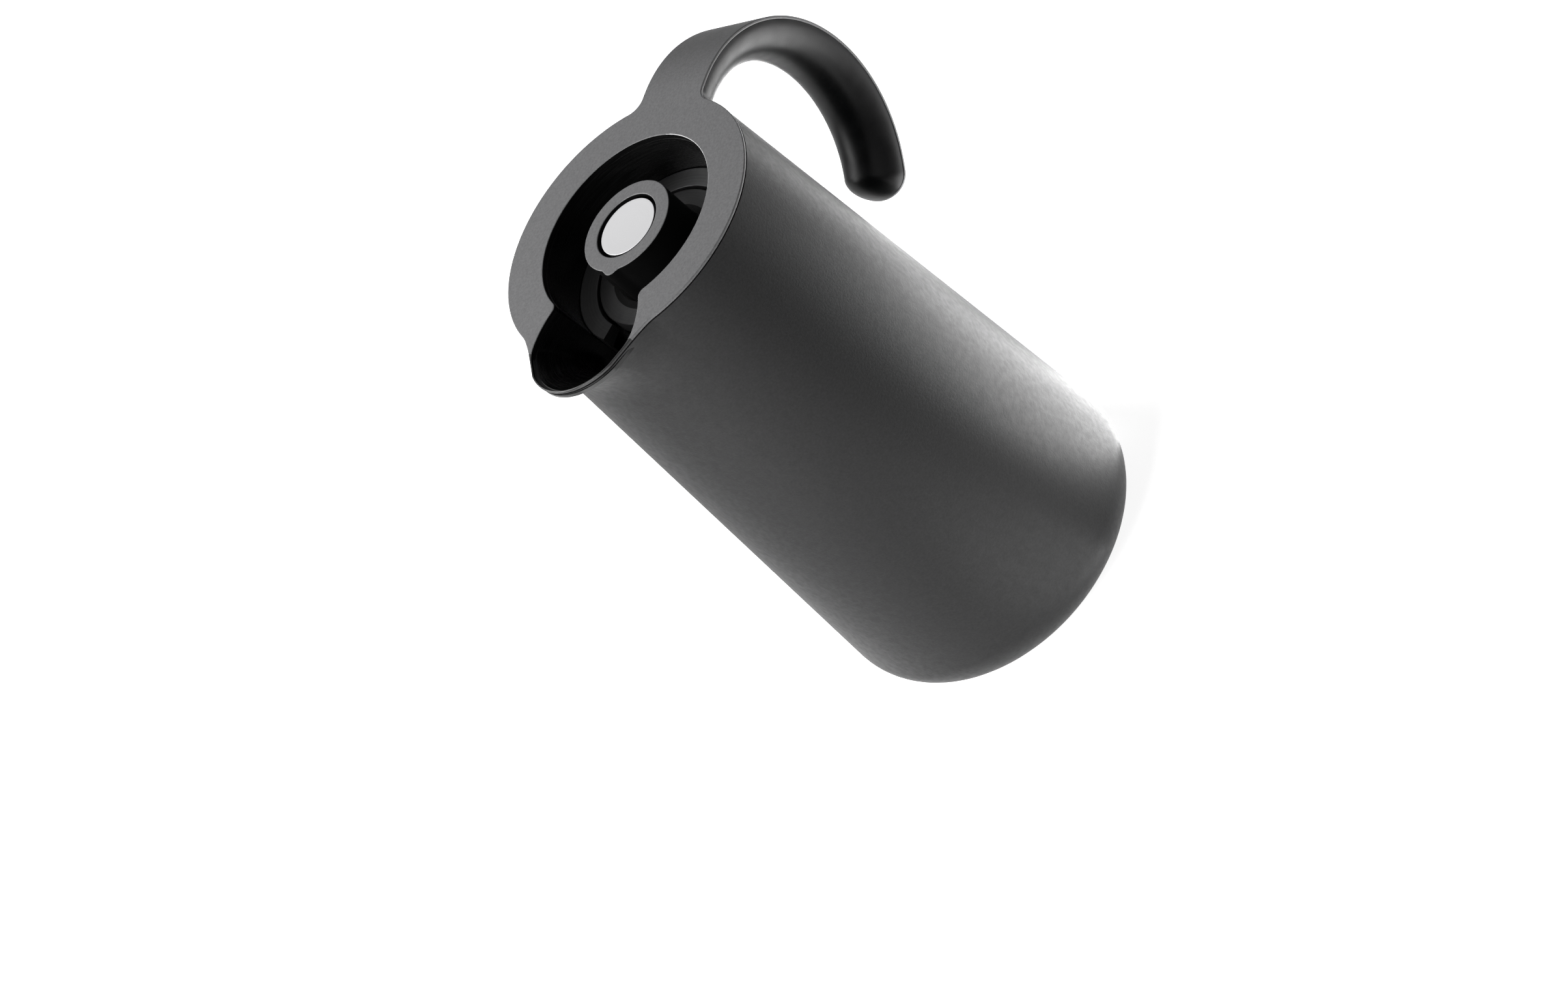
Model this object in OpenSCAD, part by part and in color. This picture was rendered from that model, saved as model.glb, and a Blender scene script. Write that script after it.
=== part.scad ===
// Vacuum jug: a tapered steel jacket with a flat moulded top, a keyhole pouring bowl,
// a hook handle, a glass flask inside and a push-button stopper.
// The origin is the centre of the base on the table, +Z is up, the spout points to -X
// and the handle to +X. A depth is measured down from the flat top.

/* [Steel body] */
// Height of the flat top above the table
body_h = 240; // [232:1:260]
// Radius of the steel wall at the flat top
mouth_r = 55.4; // [55:0.1:57]
// Radius that the straight wall would reach at the table
foot_r = 69.5; // [66:0.1:74]
// Radius of the round lower edge
base_round = 19.4; // [14:0.1:21]
// Thickness of the steel
steel_t = 0.8; // [0.6:0.1:1]
// Height of the steel bottom above the table
steel_lift = 1; // [0.6:0.1:1.6]
// Width of the steel bottom between its hole and the round lower edge
base_flat_w = 4.9; // [3:0.1:7]
// Height of the pressed spout below the seam
press_h = 32; // [26:0.5:40]

/* [Top plate] */
// How far the plate stands out past the steel
plate_proud = 0.2; // [0:0.1:0.6]
// Thickness of the plate's visible edge
plate_edge_t = 1.2; // [0.8:0.1:1.6]
// Height of the dark seam under the plate
seam_h = 0.5; // [0.3:0.1:0.8]
// Thickness of the plate inside the steel
plate_t = 2.6; // [2.2:0.1:3.2]

/* [Spout] */
// Distance of the lip's front from the jug's axis
spout_reach = 73; // [71:0.5:76]
// Distance of the spout's straight sides from the jug's axis
spout_side = 51; // [50:0.1:51.6]
// Angle between the spout's sides and the jug's middle plane
spout_angle = 32; // [31:0.5:34]
// Radius of the lip's front curve
lip_r = 27; // [25:0.5:29]
// Radius of the lip's corners
lip_corner_r = 8; // [6:0.1:10]
// Radius of the hollow blend between plate and spout
spout_blend_r = 12; // [8:0.5:16]
// Thickness of the lip
lip_t = 1.5; // [1.4:0.1:1.8]
// Half width of the trough at its widest
trough_half_w = 24.9; // [24.4:0.1:25.2]
// Distance of the trough's widest place from the axis
trough_wide_x = 49.5; // [49:0.1:50]
// Radius of the trough's side between its widest place and the neck
trough_side_r = 36; // [30:1:60]
// Radius of the rounded neck between bowl and trough
neck_corner_r = 3; // [2.4:0.1:4]

/* [Handle] */
// Half width of the flat band at the handle's root
band_half_w = 15.3; // [14:0.1:16.5]
// Half width of the flat band before the handle's rounded end
band_end_half_w = 13.5; // [12:0.1:14]
// How far the handle's outer curve reaches out from its centre
handle_r = 60; // [57:0.5:65]
// How far that curve's centre lies under the flat top
handle_drop = 61.9; // [58:0.1:66]
// Distance of that centre from the jug's axis
handle_x = 60.5; // [58.5:0.1:64]
// Angle that the handle turns through
handle_turn = 153; // [125:0.5:156]
// Thickness of the handle at its root, from the flat band to the round inside
handle_depth = 15; // [13:0.1:15.5]
// Thickness of the handle before its rounded end
handle_end_depth = 14.4; // [12:0.1:15]
// Length of the handle's rounded end
handle_end_round = 10; // [6:0.5:12]
// Radius of the blend between plate and handle
handle_blend_r = 7; // [4:0.5:9]

/* [Bowl] */
// Radius of the pouring bowl
bowl_r = 38.85; // [38.6:0.05:39.2]
// Depth of the bowl's floor
bowl_depth = 31; // [30:0.5:33]
// Wall of the bowl
bowl_t = 1.5; // [1.2:0.1:1.8]
// Wall of the trough
trough_t = 1.1; // [0.8:0.1:1.1]
// Depth of the collar at the bowl's wall
collar_out_depth = 20.5; // [19:0.1:21.5]
// Depth of the collar at its bore
collar_in_depth = 22; // [21.6:0.1:23]
// Width of the collar between the bowl's wall and its bore
collar_w = 7.95; // [7.5:0.05:8.4]
// Thickness of the collar at its bore
collar_t = 4; // [3:0.1:5]
// Half width of the notch that lets the drink run to the spout
notch_half_w = 13.7; // [11:0.1:16]
// Bore of the neck tube, as a radius
neck_r = 21; // [20.9:0.1:21.6]
// Wall of the neck tube
neck_t = 2.6; // [2.2:0.1:3]
// Length of the neck tube under the bowl's floor
neck_len = 14; // [13:0.5:16]

/* [Stopper] */
// Radius of the stopper's post
post_r = 19.8; // [19:0.1:20.4]
// Depth of the post's top ring
post_depth = 1.3; // [0.8:0.1:2]
// Radius of the hole round the button
button_hole_r = 13.8; // [13.4:0.1:14.5]
// Gap between the stopper's round flange and the collar
flange_gap = 1.3; // [0.6:0.1:1.6]
// Height of the flange's rim
flange_h = 6; // [5.5:0.1:7]
// Radius of the button
button_r = 12.4; // [11.8:0.05:12.6]
// Depth of the button's face
button_depth = 2.05; // [1.8:0.05:3]
// How far the button goes down
button_travel = 5; // [3:0.5:5.5]
// How far the pointer stands out from the post
pointer_out = 1.9; // [1:0.1:3]
// Width of the pointer
pointer_w = 5; // [4:0.1:6]
// Length of the plug below the neck tube
plug_len = 15; // [12:0.5:20]
// Wall of the plug
plug_t = 2.2; // [1.8:0.1:2.4]
// Radius of the valve's rod
rod_r = 2.5; // [2:0.1:3]

/* [Flask] */
// Inner radius of the glass flask
flask_r = 50; // [47:0.5:51]
// Inner radius of the flask's neck
flask_neck_r = 19; // [18.6:0.1:19.3]
// Thickness of each glass wall
glass_t = 1.6; // [1.3:0.1:1.9]
// Width of the empty space between the glass walls
vacuum_w = 2.5; // [2:0.1:3]
// Height of the flask's flat bottom above the table
flask_lift = 17; // [16:0.5:20]

/* [Base] */
// Thickness of the cover's plate
cover_t = 2.8; // [2.4:0.1:3.4]
// Distance of the rubber foot ring from the hole's edge
foot_inset = 4; // [3.5:0.5:6]
// Width of the rubber foot ring
foot_w = 4.5; // [3:0.5:6]
// Distance of the cover's grip recess from the rubber foot ring
recess_inset = 11.5; // [8.5:0.5:15]

/* [Hidden] */
$fn = 96;

// Fits and steps
pass_gap = 0.3;     // between parts that pass each other
seat_gap = 0.1;     // between round faces that stay together
slide_gap = 0.08;   // between a sliding part and its guide
over = 1;           // how far a cut runs past its face
bend_steps = 14;    // straight steps in a bend of a turned profile
plan_steps = 8;     // straight steps in a small bend of the plan
ring_steps = 36;    // straight steps in half of the plan's large circles
press_rows = 6;     // rows of the pressed spout and of the trough
bar_rows = 20;      // sections along the handle's curve
end_rows = 6;       // sections of the handle's rounded end

// Small sizes of the hidden pieces
seam_inset = 0.2;
ring_h = 9;
ring_w_share = 0.8;
tongue_half_w = 9;
tongue_h = 7;
screw_r = 1.5;
screw_head_r = 2.8;
screw_head_h = 2;
plate_bite = 1.8;
ledge_w = 0.7;
floor_t = 2.2;
lip_seat_w = 1.6;
gasket_h = 2.5;
seal_h = 2;
cap_wall = 2;
plug_flange_t = 2.5;
window_count = 4;
window_half_w = 8;
button_t = 1.2;
plunger_t = 2;
plunger_skirt_h = 8.8;
plunger_wall = 2.4;
spring_r = 5.6;
spring_wire_r = 0.45;
spring_turns = 7;
spring_sides = 5;
spring_steps = 14;
rotor_h = 4;
rotor_wall = 2.4;
rotor_teeth = 8;
tooth_h = 2.4;
hub_wall = 2.5;
hub_len = 12;
disc_t = 2;
rod_head_out = 1.6;
seal_t = 1;
seal_w = 3.5;
neck_glass_len = 22;
shoulder_h = 34;
flask_corner_r = 14;
tip_r = 3;
tip_h = 6;
end_share = 0.97;
tip_floor_t = 0.6;
tip_cup_wall = 2.5;
cushion_w = 8;
spacer_r = 4;
spacer_count = 3;
base_ring_step = 5;
base_ring_h = 10;
thread_h = 9;
bar_half_w = 4;
recess_h = 4;
groove_h = 1.4;

// Levels and places worked out from the sizes above
plate_r = mouth_r + plate_proud;
seam_z = body_h - plate_edge_t - seam_h;
lean = atan((foot_r - mouth_r) / body_h);
function wall_r(z) = foot_r - (foot_r - mouth_r) * z / body_h;
function inner_r(z) = wall_r(z) - steel_t / cos(lean);
round_z = steel_lift + base_round;
round_x = (foot_r * cos(lean) - base_round - round_z * sin(lean)) / cos(lean);
base_hole_r = round_x - base_flat_w;
foot_out_r = base_hole_r - foot_inset;
recess_r = foot_out_r - foot_w - recess_inset;
plate_low_z = body_h - plate_t;
flange_low_z = plate_low_z - bowl_t;
bowl_z = body_h - bowl_depth;
neck_low_z = bowl_z - floor_t - neck_len;
seal_z = neck_low_z + lip_seat_w;
lip_top_z = neck_low_z - gasket_h;
collar_in_r = bowl_r - collar_w;
flange_r = collar_in_r - flange_gap;
flange_z = body_h - collar_in_depth;
cap_low_z = flange_z - flange_h;
plug_top_z = flange_z - cap_wall;
plug_shoulder_z = seal_z + seal_h;
plug_low_z = neck_low_z - plug_len;
plug_wide_r = neck_r - pass_gap;
plug_r = flask_neck_r - 6 * pass_gap;
button_z = body_h - button_depth;
plunger_z = button_z - button_t;
screw_ring_r = (bowl_r + bowl_t + inner_r(seam_z)) / 2;
guide_r = button_r + 2 * slide_gap;
plunger_r = guide_r - slide_gap;
plunger_floor_z = plunger_z - plunger_t;
plunger_low_z = plunger_z - plunger_skirt_h;

// Points of an arc with both ends; point lists without their first point, backwards and mirrored
function arc(c, r, a0, a1, n) =
    [for (i = [0 : n]) let (a = a0 + (a1 - a0) * i / n) c + r * [cos(a), sin(a)]];
function rest(p) = [for (i = [1 : len(p) - 1]) p[i]];
function back(p) = [for (i = [len(p) - 1 : -1 : 0]) p[i]];
function other_side(p) = [for (q = back(p)) [q[0], -q[1]]];
function whole(half) =
    let (first = half[0][1] == 0 ? 1 : 0)
    concat(half, other_side([for (i = [first : len(half) - 2]) half[i]]));
function angle_of(p) = atan2(p[1], p[0]);
// The point at distance r1 from c1 and r2 from c2, on the left of the way from c1 to c2
function meet(c1, r1, c2, r2) =
    let (d = norm(c2 - c1), u = (c2 - c1) / d, a = (d * d + r1 * r1 - r2 * r2) / (2 * d))
    c1 + a * u + sqrt(r1 * r1 - a * a) * [-u[1], u[0]];

// Plan of the spout: hollow blend, straight side, corner and front curve.
// Its arcs keep their centres when the outline is set in.
side_a = 90 + spout_angle;
side_n = [cos(side_a), sin(side_a)];
side_t = [-side_n[1], side_n[0]];
front_c = [lip_r - spout_reach, 0];
corner_w = (spout_side - lip_corner_r) * side_n - front_c;
corner_s = -corner_w * side_t + sqrt(pow(corner_w * side_t, 2) - corner_w * corner_w
    + pow(lip_r - lip_corner_r, 2));
corner_c = (spout_side - lip_corner_r) * side_n + corner_s * side_t;
front_a = angle_of(corner_c - front_c);
blend_s = sqrt(pow(plate_r + spout_blend_r, 2) - pow(spout_side + spout_blend_r, 2));
blend_c = (spout_side + spout_blend_r) * side_n + blend_s * side_t;
blend_a = angle_of(blend_c);
function lip_end(inset) = concat(
    arc(corner_c, lip_corner_r - inset, side_a, front_a, plan_steps),
    rest(arc(front_c, lip_r - inset, front_a, 180, plan_steps))
);
function lip_half(inset) = concat(
    arc(blend_c, spout_blend_r + inset, blend_a + 180, side_a + 180, plan_steps), lip_end(inset)
);

// Plan of the whole top plate with the root of the handle
root_c = [sqrt(pow(plate_r + handle_blend_r, 2) - pow(band_half_w + handle_blend_r, 2)),
    band_half_w + handle_blend_r];
root_a = angle_of(root_c);
function plate_half(inset, end_x) = concat(
    [[end_x, band_half_w - inset]],
    arc(root_c, handle_blend_r + inset, 270, root_a + 180, plan_steps),
    rest(arc([0, 0], plate_r - inset, root_a, blend_a, ring_steps)),
    rest(lip_half(inset))
);
// The same without the handle, for what lies under the plate
function rim_half(inset) = concat(
    arc([0, 0], plate_r - inset, 0, blend_a, ring_steps), rest(lip_half(inset))
);

// Plan of the keyhole: bowl, rounded neck, the trough's sides and its front
wide_r = (spout_side - lip_t - trough_wide_x * -side_n[0] - trough_half_w * side_n[1])
    / (1 - side_n[1]);
wide_c = [-trough_wide_x, trough_half_w - wide_r];
long_c = [-trough_wide_x, trough_half_w - trough_side_r];
neck_c = meet(long_c, trough_side_r + neck_corner_r, [0, 0], bowl_r + neck_corner_r);
function trough_half(grow, start_a) = concat(
    arc(long_c, trough_side_r + grow, start_a, 90, plan_steps),
    rest(arc(wide_c, wide_r + grow, 90, side_a, plan_steps)),
    lip_end(lip_t - grow)
);
function keyhole_half(grow) = concat(
    arc([0, 0], bowl_r + grow, 0, angle_of(neck_c), ring_steps),
    rest(arc(neck_c, neck_corner_r - grow, angle_of(neck_c) + 180, angle_of(long_c - neck_c) + 360,
        plan_steps)),
    rest(trough_half(grow, angle_of(neck_c - long_c)))
);

// A closed solid through flat outlines with equal numbers of points, lowest outline first
module loft(rings) {
    n = len(rings[0]);
    top = (len(rings) - 1) * n;
    walls = [for (k = [0 : len(rings) - 2], i = [0 : n - 1])
        let (a = k * n + i, b = k * n + (i + 1) % n) each [[a, a + n, b], [b, a + n, b + n]]];
    polyhedron([for (r = rings) each r],
        concat(walls, [[for (i = [0 : n - 1]) i]], [[for (i = [n - 1 : -1 : 0]) top + i]]));
}

// A closed wall through flat outlines, out and back again to the first one
module tube(rings) {
    n = len(rings[0]);
    m = len(rings);
    polyhedron([for (r = rings) each r], [for (k = [0 : m - 1], i = [0 : n - 1])
        let (a = k * n + i, b = k * n + (i + 1) % n, c = (k + 1) % m * n + i, d = (k + 1) % m * n + (i + 1) % n)
        each [[a, c, b], [b, c, d]]]);
}

// The trough: from the keyhole's plan it runs down and back to the bowl's floor
trough_in_x = 30;
trough_bend = 1.2;
trough_x_share = 0.33;
trough_y_share = 0.95;
trough_start_a = acos((trough_wide_x - trough_in_x) / trough_side_r);
function trough_ring(plan, t, z) =
    let (g = 1 - pow(1 - t, trough_bend))
    [for (p = plan)
        let (x = p[0] + trough_in_x, q = [x * trough_x_share - trough_in_x, p[1] * trough_y_share],
            m = p + (q - p) * g)
        [m[0], m[1], z]];
module trough(grow, top_z, low_z) {
    plan = whole(trough_half(grow, trough_start_a));
    loft([for (k = [press_rows : -1 : 0]) let (t = k / press_rows)
        trough_ring(plan, t, top_z + (low_z - top_z) * t)]);
}

// Steel jacket: a turned cone with a round lower edge and a rolled-in bottom. Its top, as far
// down as the spout reaches, is one wall through outlines that go from the lip's to the cone's.
press_low_z = seam_z - press_h;
press_bend = 1.3;
press_inset = 0.04;
function jacket_ring(skin, t) =
    let (z = seam_z - press_h * t, r = wall_r(z) - skin / cos(lean), out = pow(1 - t, press_bend))
    [for (p = whole(rim_half(plate_proud + skin)))
        let (q = (r + (norm(p) - mouth_r + skin) * out) / norm(p) * p) [q[0], q[1], z]];
module jacket_bottom() {
    round_c = [round_x, round_z];
    rotate_extrude() polygon(concat(
        [[base_hole_r, steel_lift]], arc(round_c, base_round, -90, lean, bend_steps),
        [[wall_r(press_low_z), press_low_z], [inner_r(press_low_z), press_low_z]],
        arc(round_c, base_round - steel_t, lean, -90, bend_steps),
        [[base_hole_r, steel_lift + steel_t]]
    ));
}
module body_shell() color("#3a3b3d") {
    jacket_bottom();
    difference() {
        tube(concat(
            [for (k = [press_rows : -1 : 0]) jacket_ring(press_inset, k / press_rows)],
            [for (k = [0 : press_rows]) jacket_ring(steel_t - 2 * press_inset, k / press_rows)]
        ));
        translate([0, -tongue_half_w - pass_gap, flange_low_z - tongue_h - pass_gap])
            cube([mouth_r + over, 2 * (tongue_half_w + pass_gap), body_h]);
    }
}

// Dark soft ring in the seam between steel and plate
module rim_gasket() color("#101010") {
    translate([0, 0, seam_z]) linear_extrude(seam_h) difference() {
        polygon(whole(rim_half(plate_proud + seam_inset)));
        polygon(whole(rim_half(plate_proud + steel_t)));
        translate([0, -band_half_w]) square([plate_r, 2 * band_half_w]);
    }
}

// Plastic ring glued into the steel mouth, open at the spout and at the handle
module rim_ring() color("#1b1b1c") {
    ring_top = flange_low_z;
    ring_w = ring_w_share * (inner_r(seam_z) - screw_ring_r - screw_head_r);
    difference() {
        rotate_extrude() polygon([
            [inner_r(ring_top - ring_h) - seat_gap - ring_w, ring_top - ring_h],
            [inner_r(ring_top - ring_h) - seat_gap, ring_top - ring_h],
            [inner_r(ring_top) - seat_gap, ring_top],
            [inner_r(ring_top) - seat_gap - ring_w, ring_top]
        ]);
        translate([-plate_r - over, -blend_c[1], ring_top - ring_h - over])
            cube([plate_r + over, 2 * blend_c[1], ring_h + 2 * over]);
        translate([0, -tongue_half_w - pass_gap, ring_top - ring_h - over])
            cube([plate_r, 2 * (tongue_half_w + pass_gap), ring_h + 2 * over]);
    }
}

// Top plate with the flat band that runs over the handle
module top_plate() color("#7c7d7f") {
    difference() {
        union() {
            translate([0, 0, body_h - plate_edge_t])
                linear_extrude(plate_edge_t) polygon(whole(plate_half(0, handle_x)));
            translate([0, 0, plate_low_z]) difference() {
                cylinder(r = inner_r(seam_z) - pass_gap, h = plate_t - plate_edge_t / 2);
                translate([0, 0, -over]) linear_extrude(plate_t + 2 * over)
                    polygon(whole(trough_half(trough_t - ledge_w + seat_gap, trough_start_a)));
            }
        }
        translate([0, 0, plate_low_z - over])
            linear_extrude(plate_t + 2 * over) polygon(whole(keyhole_half(0)));
        each_plate_screw() translate([0, 0, plate_low_z - over])
            cylinder(r = screw_r + seat_gap, h = over + plate_bite);
    }
    loft(along_handle([[-1, 0, 0], [-1, 1, 0], [1, 1, 0], [1, 0, 0]]));
    // Core of the joint between plate and band, inside their thickness
    translate([handle_x - band_half_w / 4, over - band_half_w, body_h - plate_edge_t * 3 / 4])
        cube([band_half_w / 2, 2 * (band_half_w - over), plate_edge_t / 2]);
}

// Outlines along the handle's curve. A point of the section has its place across the band, from
// -1 to 1, in the band's thickness and in the grip's depth below the band, both from 0 to 1.
// Towards the end the section shrinks to the outer curve, as a quarter of an ellipse does.
function along_handle(section) =
    let (end_turn = handle_end_round / handle_r * 180 / PI, full_turn = handle_turn - end_turn)
    concat(
        [for (k = [0 : bar_rows]) handle_ring(section, full_turn * k / bar_rows, k / bar_rows, 1)],
        [for (k = [1 : end_rows])
            let (u = sin(end_share * 90 * k / end_rows))
            handle_ring(section, full_turn + end_turn * u, 1, sqrt(1 - u * u))]
    );
function handle_ring(section, turn, t, share) =
    let (half_w = share * (band_half_w + (band_end_half_w - band_half_w) * t),
        depth = share * (handle_depth + (handle_end_depth - handle_depth) * t - plate_edge_t))
    [for (q = section)
        let (in = plate_edge_t * q[1] + depth * q[2])
        [handle_x + (handle_r - in) * sin(turn), half_w * q[0],
            body_h - handle_drop + (handle_drop - in) * cos(turn)]];

// Round grip under the band, with a tongue that reaches through the steel
grip_section = [for (q = arc([0, 0], 1, 180, 0, bend_steps)) [q[0], 1, q[1]]];
module handle_grip() color("#4a4b4d") {
    root_len = handle_x - mouth_r / 2;
    tongue_x = screw_ring_r - screw_head_r - pass_gap;
    tongue_z = flange_low_z - tongue_h;
    difference() {
        loft(concat(
            [[for (q = handle_ring(grip_section, 0, 0, 1)) [q[0] - root_len, q[1], q[2]]]],
            along_handle(grip_section)
        ));
        rotate_extrude() polygon([
            [0, 0], [wall_r(0) + seat_gap, 0], [wall_r(body_h) + seat_gap, body_h], [0, body_h]
        ]);
    }
    difference() {
        translate([tongue_x, -tongue_half_w, tongue_z])
            cube([mouth_r + band_half_w / 2 - tongue_x, 2 * tongue_half_w, tongue_h]);
        each_handle_screw() translate([0, 0, tongue_z - over])
            cylinder(r = screw_r + seat_gap, h = tongue_h + 2 * over);
    }
}
module each_handle_screw() {
    for (side = [-1, 1])
        translate([screw_ring_r, side * tongue_half_w / 2, 0]) children();
}
// A screw with its head's seat at zero, pointing up
module screw(len) {
    translate([0, 0, -screw_head_h]) cylinder(r = screw_head_r, h = screw_head_h);
    cylinder(r = screw_r, h = len);
}
module handle_screws() color("#b0b2b5") {
    each_handle_screw() translate([0, 0, flange_low_z - tongue_h]) screw(tongue_h + bowl_t);
}

// Pouring bowl: keyhole pocket, neck tube and the flange that carries it
module pour_bowl() color("#131314") {
    difference() {
        union() {
            translate([0, 0, bowl_z - floor_t])
                cylinder(r = bowl_r + bowl_t, h = plate_low_z - bowl_z + floor_t);
            translate([0, 0, flange_low_z])
                cylinder(r = inner_r(seam_z) - pass_gap, h = bowl_t);
            trough(trough_t - ledge_w, body_h - plate_edge_t, bowl_z - floor_t);
            translate([0, 0, neck_low_z]) cylinder(r = neck_r + neck_t, h = neck_len + floor_t);
        }
        translate([0, 0, bowl_z]) cylinder(r = bowl_r, h = bowl_depth + over);
        trough(-ledge_w, body_h - plate_edge_t, bowl_z);
        translate([0, 0, neck_low_z + lip_seat_w]) cylinder(r = neck_r, h = bowl_depth);
        translate([0, 0, neck_low_z - over]) cylinder(r = neck_r - lip_seat_w, h = bowl_depth);
        each_plate_screw() translate([0, 0, flange_low_z - over])
            cylinder(r = screw_r + seat_gap, h = bowl_t + 2 * over);
        each_handle_screw() translate([0, 0, flange_low_z - over])
            cylinder(r = screw_r + seat_gap, h = bowl_t + 2 * over);
    }
}
module each_plate_screw() {
    for (a = [-110, -50, 50, 110])
        rotate([0, 0, a]) translate([screw_ring_r, 0, 0]) children();
}
module plate_screws() color("#b0b2b5") {
    each_plate_screw() translate([0, 0, flange_low_z]) screw(bowl_t + plate_bite - seat_gap);
}

// Collar at the foot of the bowl, notched towards the spout
module neck_collar() color("#2b2b2d") {
    low_z = flange_z - collar_t;
    wall_in = bowl_r - bowl_t - seat_gap;
    difference() {
        rotate_extrude() polygon([
            [collar_in_r, low_z], [wall_in, low_z], [wall_in, bowl_z], [bowl_r - seat_gap, bowl_z],
            [bowl_r - seat_gap, body_h - collar_out_depth], [collar_in_r, flange_z]
        ]);
        translate([-bowl_r - over, -notch_half_w, bowl_z - over])
            cube([bowl_r + over, 2 * notch_half_w, bowl_depth]);
    }
}

// Soft ring between the neck tube and the flask's glass lip
module neck_gasket() color("#c9c5bc") {
    translate([0, 0, lip_top_z]) difference() {
        cylinder(r = neck_r + neck_t, h = gasket_h);
        translate([0, 0, -over]) cylinder(r = neck_r - lip_seat_w, h = gasket_h + 2 * over);
    }
}

// Profile of one glass surface: flat bottom, round corner, wall, S-shaped shoulder and neck
function glass_line(skin) = concat(
    [[0, flask_z - skin]],
    arc([flask_r - flask_corner_r, flask_z + flask_corner_r], flask_corner_r + skin, -90, 0, bend_steps),
    [for (i = [0 : bend_steps])
        let (t = i / bend_steps, g = (1 - cos(180 * t)) / 2)
        [flask_r + skin + (flask_neck_r - flask_r) * g, shoulder_z + shoulder_h * t]]
);
flask_z = flask_lift + 2 * glass_t + vacuum_w;
shoulder_z = lip_top_z - neck_glass_len - shoulder_h;
outer_skin = glass_t + vacuum_w;
lip_h = 2 * glass_t;
module liner_inner() color("#c8ccd0") {
    rim_r = flask_neck_r + outer_skin + glass_t;
    rotate_extrude() polygon(concat(
        glass_line(glass_t),
        [[flask_neck_r + glass_t, lip_top_z - lip_h], [rim_r, lip_top_z - lip_h], [rim_r, lip_top_z],
         [flask_neck_r, lip_top_z]],
        back(glass_line(0))
    ));
}
module liner_outer() color("#b9bec4") {
    neck_top = lip_top_z - lip_h;
    rotate_extrude() polygon(concat(
        glass_line(outer_skin + glass_t),
        [[flask_neck_r + outer_skin + glass_t, neck_top], [flask_neck_r + outer_skin, neck_top]],
        back(glass_line(outer_skin))
    ));
    translate([0, 0, flask_lift - tip_h]) cylinder(r1 = tip_r / 3, r2 = tip_r, h = tip_h);
}

// Small pads that keep the two glass walls apart
module liner_spacers() color("#8a7f6d") {
    intersection() {
        difference() {
            cylinder(r = flask_r + outer_skin - seat_gap, h = shoulder_z);
            translate([0, 0, -over]) cylinder(r = flask_r + glass_t + seat_gap, h = shoulder_z + 2 * over);
        }
        for (i = [0 : spacer_count - 1])
            rotate([0, 90, 360 * i / spacer_count]) translate([-flask_z - 2 * flask_corner_r, 0, 0])
                cylinder(r = spacer_r, h = foot_r);
    }
}

// Base: cushion and cup under the flask, threaded ring, cover and foot ring
cover_z = steel_lift;
cover_top_z = cover_z + cover_t;
recess_top_z = cover_z + recess_h;
ring_z = steel_lift + steel_t;
thread_r = base_hole_r - 2 * lip_seat_w;
module base_cushion() color("#202020") {
    in_r = recess_r + cover_t + over;
    translate([0, 0, cover_top_z]) difference() {
        cylinder(r = in_r + cushion_w, h = flask_lift - cover_top_z);
        translate([0, 0, -over]) cylinder(r = in_r, h = flask_lift);
    }
}
module tip_guard() color("#b9b3a6") {
    cup_r = tip_r + pass_gap;
    translate([0, 0, recess_top_z + cover_t]) difference() {
        cylinder(r = cup_r + tip_cup_wall, h = flask_lift - recess_top_z - cover_t);
        translate([0, 0, tip_floor_t]) cylinder(r = cup_r, h = flask_lift);
    }
}
module base_ring() color("#222223") {
    rotate_extrude() polygon([
        [thread_r, ring_z], [round_x, ring_z], [round_x + base_ring_step, ring_z + base_ring_step],
        [round_x + base_ring_step, ring_z + base_ring_h], [thread_r, ring_z + base_ring_h]
    ]);
}
module base_cover() color("#1e1e1f") {
    foot_in_r = foot_out_r - foot_w;
    difference() {
        union() {
            translate([0, 0, cover_z]) cylinder(r = base_hole_r - pass_gap, h = steel_t);
            translate([0, 0, cover_z]) cylinder(r = thread_r - pass_gap, h = cover_t);
            translate([0, 0, cover_z]) difference() {
                cylinder(r = thread_r - pass_gap, h = thread_h);
                translate([0, 0, -over]) cylinder(r = thread_r - pass_gap - cover_t, h = thread_h + 2 * over);
            }
            translate([0, 0, cover_z]) cylinder(r = recess_r + cover_t, h = recess_h + cover_t);
        }
        difference() {
            translate([0, 0, cover_z - over]) cylinder(r = recess_r, h = recess_h + over);
            translate([-recess_r, -bar_half_w, cover_z]) cube([2 * recess_r, 2 * bar_half_w, recess_h]);
        }
        translate([0, 0, cover_z - over]) difference() {
            cylinder(r = foot_out_r, h = groove_h + over);
            translate([0, 0, -over]) cylinder(r = foot_in_r, h = groove_h + 3 * over);
        }
    }
}
module foot_ring() color("#0f0f10") {
    difference() {
        cylinder(r = foot_out_r - seat_gap, h = cover_z + groove_h);
        translate([0, 0, -over])
            cylinder(r = foot_out_r - foot_w + seat_gap, h = cover_z + groove_h + 2 * over);
    }
}

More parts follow.
